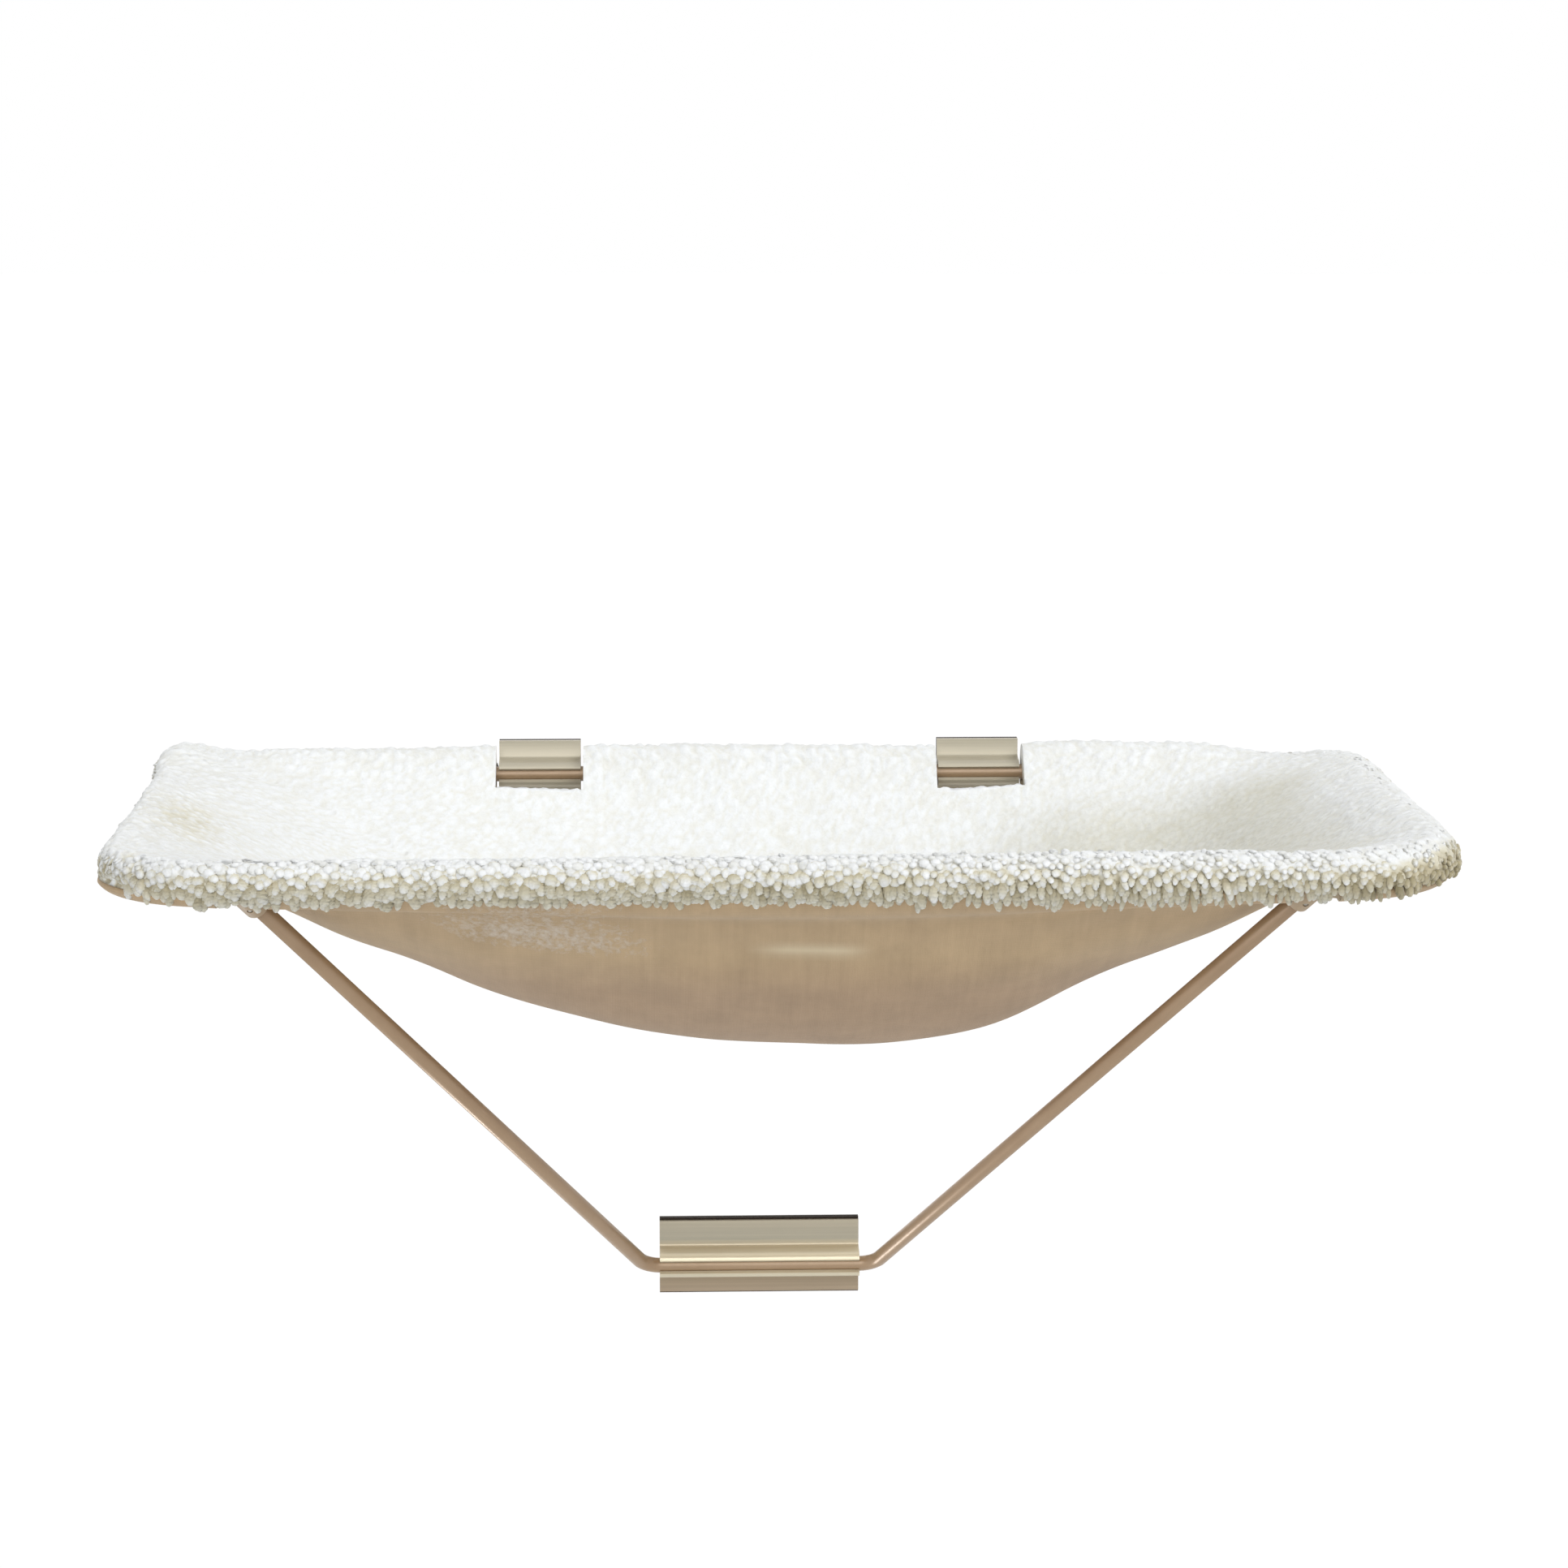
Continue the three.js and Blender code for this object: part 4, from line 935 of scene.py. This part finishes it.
def soften(obj):
    """Shades a node's fine steps as one smooth surface and keeps its real edges sharp."""
    same_place, sharp_angle = 1e-6, math.radians(34)
    obj.data.polygons.foreach_set("use_smooth", np.ones(len(obj.data.polygons), bool))
    weld = obj.modifiers.new("weld", "WELD")
    weld.merge_threshold = same_place
    split = obj.modifiers.new("split", "EDGE_SPLIT")
    split.use_edge_angle, split.use_edge_sharp, split.split_angle = True, False, sharp_angle


# Floor, lights and camera
def shown_rays(nodes, links):
    """1 for the camera's rays and for those that metal or glass sends on, else 0."""
    path = nodes.new("ShaderNodeLightPath")
    shown = path.outputs["Is Camera Ray"]
    for kind in ("Is Glossy Ray", "Is Transmission Ray"):
        either = nodes.new("ShaderNodeMath")
        either.operation = "MAXIMUM"
        links.new(shown, either.inputs[0])
        links.new(path.outputs[kind], either.inputs[1])
        shown = either.outputs[0]
    return shown


def floor():
    """A wide pale floor that shows white, with the object's shadow, and gives plain light back."""
    half, level = 40.0, -1.0
    corners = [(-half, -half, level), (half, -half, level), (half, half, level), (-half, half, level)]
    mesh = bpy.data.meshes.new("studio_floor")
    mesh.from_pydata(corners, [], [(0, 1, 2, 3)])
    add_object("studio_floor", mesh)
    material = bpy.data.materials.new("pale_floor")
    material.use_nodes = True
    nodes, links = material.node_tree.nodes, material.node_tree.links
    nodes.clear()
    output, bounce, seen, glow, add, mix = (nodes.new("ShaderNode" + kind) for kind in (
        "OutputMaterial", "BsdfDiffuse", "BsdfDiffuse", "Emission", "AddShader", "MixShader"))
    bounce.inputs["Color"].default_value = (0.75, 0.75, 0.74, 1)
    seen.inputs["Color"].default_value = (0.35, 0.35, 0.35, 1)
    glow.inputs["Color"].default_value = (1, 1, 1, 1)
    glow.inputs["Strength"].default_value = 0.68
    links.new(seen.outputs[0], add.inputs[0])
    links.new(glow.outputs[0], add.inputs[1])
    links.new(shown_rays(nodes, links), mix.inputs[0])
    links.new(bounce.outputs[0], mix.inputs[1])
    links.new(add.outputs[0], mix.inputs[2])
    links.new(mix.outputs[0], output.inputs["Surface"])
    mesh.materials.append(material)


def world():
    """White where it is seen, and a plain level of light elsewhere."""
    scene = bpy.context.scene
    scene.world = bpy.data.worlds.new("studio")
    scene.world.use_nodes = True
    nodes, links = scene.world.node_tree.nodes, scene.world.node_tree.links
    background = next(n for n in nodes if n.type == "BACKGROUND")
    strength = nodes.new("ShaderNodeMapRange")
    strength.inputs["To Min"].default_value = 0.47
    strength.inputs["To Max"].default_value = 1.0
    links.new(shown_rays(nodes, links), strength.inputs["Value"])
    background.inputs["Color"].default_value = (1, 1, 1, 1)
    links.new(strength.outputs["Result"], background.inputs["Strength"])


def lamp(name, kind, direction, energy):
    """A lamp that shines along direction."""
    obj = add_object(name, bpy.data.lights.new(name, kind))
    obj.data.energy = energy
    obj.rotation_euler = Vector(direction).to_track_quat("-Z", "Y").to_euler()
    return obj


def lamps():
    lamp("key", "SUN", (-0.85, 0.4, -1.0), energy=1.5).data.angle = math.radians(35)
    lamp("fill", "SUN", (0.15, 1.0, -0.42), energy=1.0).data.angle = math.radians(40)
    lamp("back", "SUN", (0.3, -1.0, -0.35), energy=0.35).data.angle = math.radians(50)
    # A low strip that shows only as a streak on the painted wire
    glint = lamp("glint", "AREA", (0.64, -0.1, 0.76), energy=4.0)
    glint.data.size = 0.32
    glint.location = (-0.668, 0.036, -0.852)
    glint.visible_diffuse, glint.visible_camera = False, False


def camera():
    """The photograph's camera, as fitted to the rim, the legs and the wall rail."""
    image_px, focal_px, sensor = 1932, 5196.82, 36
    azimuth, elevation, roll = (math.radians(v) for v in (-2.086, 9.028, 0.038))
    target, distance = np.array([7.12, -150.0, 265.95 + CROSS_ROD_Z]), 1940.68
    back = np.array([math.sin(azimuth) * math.cos(elevation),
                     -math.cos(azimuth) * math.cos(elevation), math.sin(elevation)])
    level = np.cross(UP, back)
    level /= np.linalg.norm(level)
    upright = np.cross(back, level)
    right = math.cos(roll) * level + math.sin(roll) * upright
    top = -math.sin(roll) * level + math.cos(roll) * upright
    data = bpy.data.cameras.new("camera")
    data.sensor_width, data.sensor_height, data.sensor_fit = sensor, sensor, "AUTO"
    data.lens = focal_px / image_px * sensor
    data.clip_start, data.clip_end = 0.05, 60
    matrix = Matrix(np.column_stack([right, top, back]).tolist()).to_4x4()
    matrix.translation = Vector((target + back * distance) * MM)
    obj = add_object("camera", data)
    obj.matrix_world = matrix
    bpy.context.scene.camera = obj


# Build
fleece, backing = fleece_sheet(), backing_sheet()
cut_by(fleece, rear_cutters())
cut_by(backing, rear_cutters() + saddle_cutters())
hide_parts("sling_fleece")
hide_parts("sling_backing")

curl_pieces = [
    curls("fleece_curls_front", FRONT, CURL_ROWS, spacing=4.2, length=4.5, width=4.9, seed=11, drop=0.9),
    curls("fleece_curls_right", RIGHT, CURL_ROWS[1:], spacing=4.4, length=3.6, width=4.8, seed=12, drop=0.5),
    curls("fleece_curls_rear", REAR, CURL_ROWS[3:], spacing=4.6, length=3.6, width=4.8, seed=13, drop=0.5),
    curls("fleece_curls_left", LEFT, CURL_ROWS[2:], spacing=4.2, length=2.2, width=4.0, seed=14, drop=0.4),
]

wire = brace_wire()
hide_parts("brace_wire")

# Materials on the pieces
dress(fleece, fleece_look("curly_fleece", nub_size=300, depth=0.0014))
curl_material = fleece_look("fleece_nubs", nub_size=700, depth=0.0008, glow=0.12)
for piece in curl_pieces:
    dress(piece, curl_material)
dress(backing, suede_look())
rod_material = rod_look()
dress(wire, rod_material)

# Materials on the CAD nodes. The wall rail's tone runs in bands up its profile: painted light, shade and
# reflection, as polished metal shows a room
rail_material = rail_look("champagne_rail", (0.47, 0.43, 0.335))
painted_light_bands = [(0.0, (0.42, 0.36, 0.325)), (0.19, (0.39, 0.335, 0.29)), (0.26, (0.74, 0.73, 0.70)),
          (0.45, (0.70, 0.676, 0.63)), (0.486, (0.50, 0.48, 0.44)), (0.525, (0.90, 0.90, 0.86)),
          (0.585, (1.0, 1.0, 0.97)), (0.635, (0.76, 0.73, 0.68)), (0.675, (0.60, 0.58, 0.54)),
          (0.735, (0.475, 0.49, 0.50)), (1.0, (0.515, 0.508, 0.50))]
wall_rail_material = rail_look("champagne_wall_rail", (0.95, 0.87, 0.68), bands=painted_light_bands)
foam_material, plastic_material, steel_material = foam_look(), plastic_look(), steel_look()
node_looks = {
    "wall_rail": wall_rail_material, "rear_rail_left": rail_material, "rear_rail_right": rail_material,
    "rim_front_tube": rod_material, "rim_rear_tube": rod_material, "wall_rail_pad": foam_material,
    "rear_rail_pad_left": foam_material, "rear_rail_pad_right": foam_material,
    "brace_saddle_left": plastic_material, "brace_saddle_right": plastic_material,
}
for node, obj in frame["nodes"].items():
    dress(obj, node_looks.get(node, steel_material))
    soften(obj)

floor()
world()
lamps()
camera()
bpy.context.scene.view_settings.view_transform = "Standard"
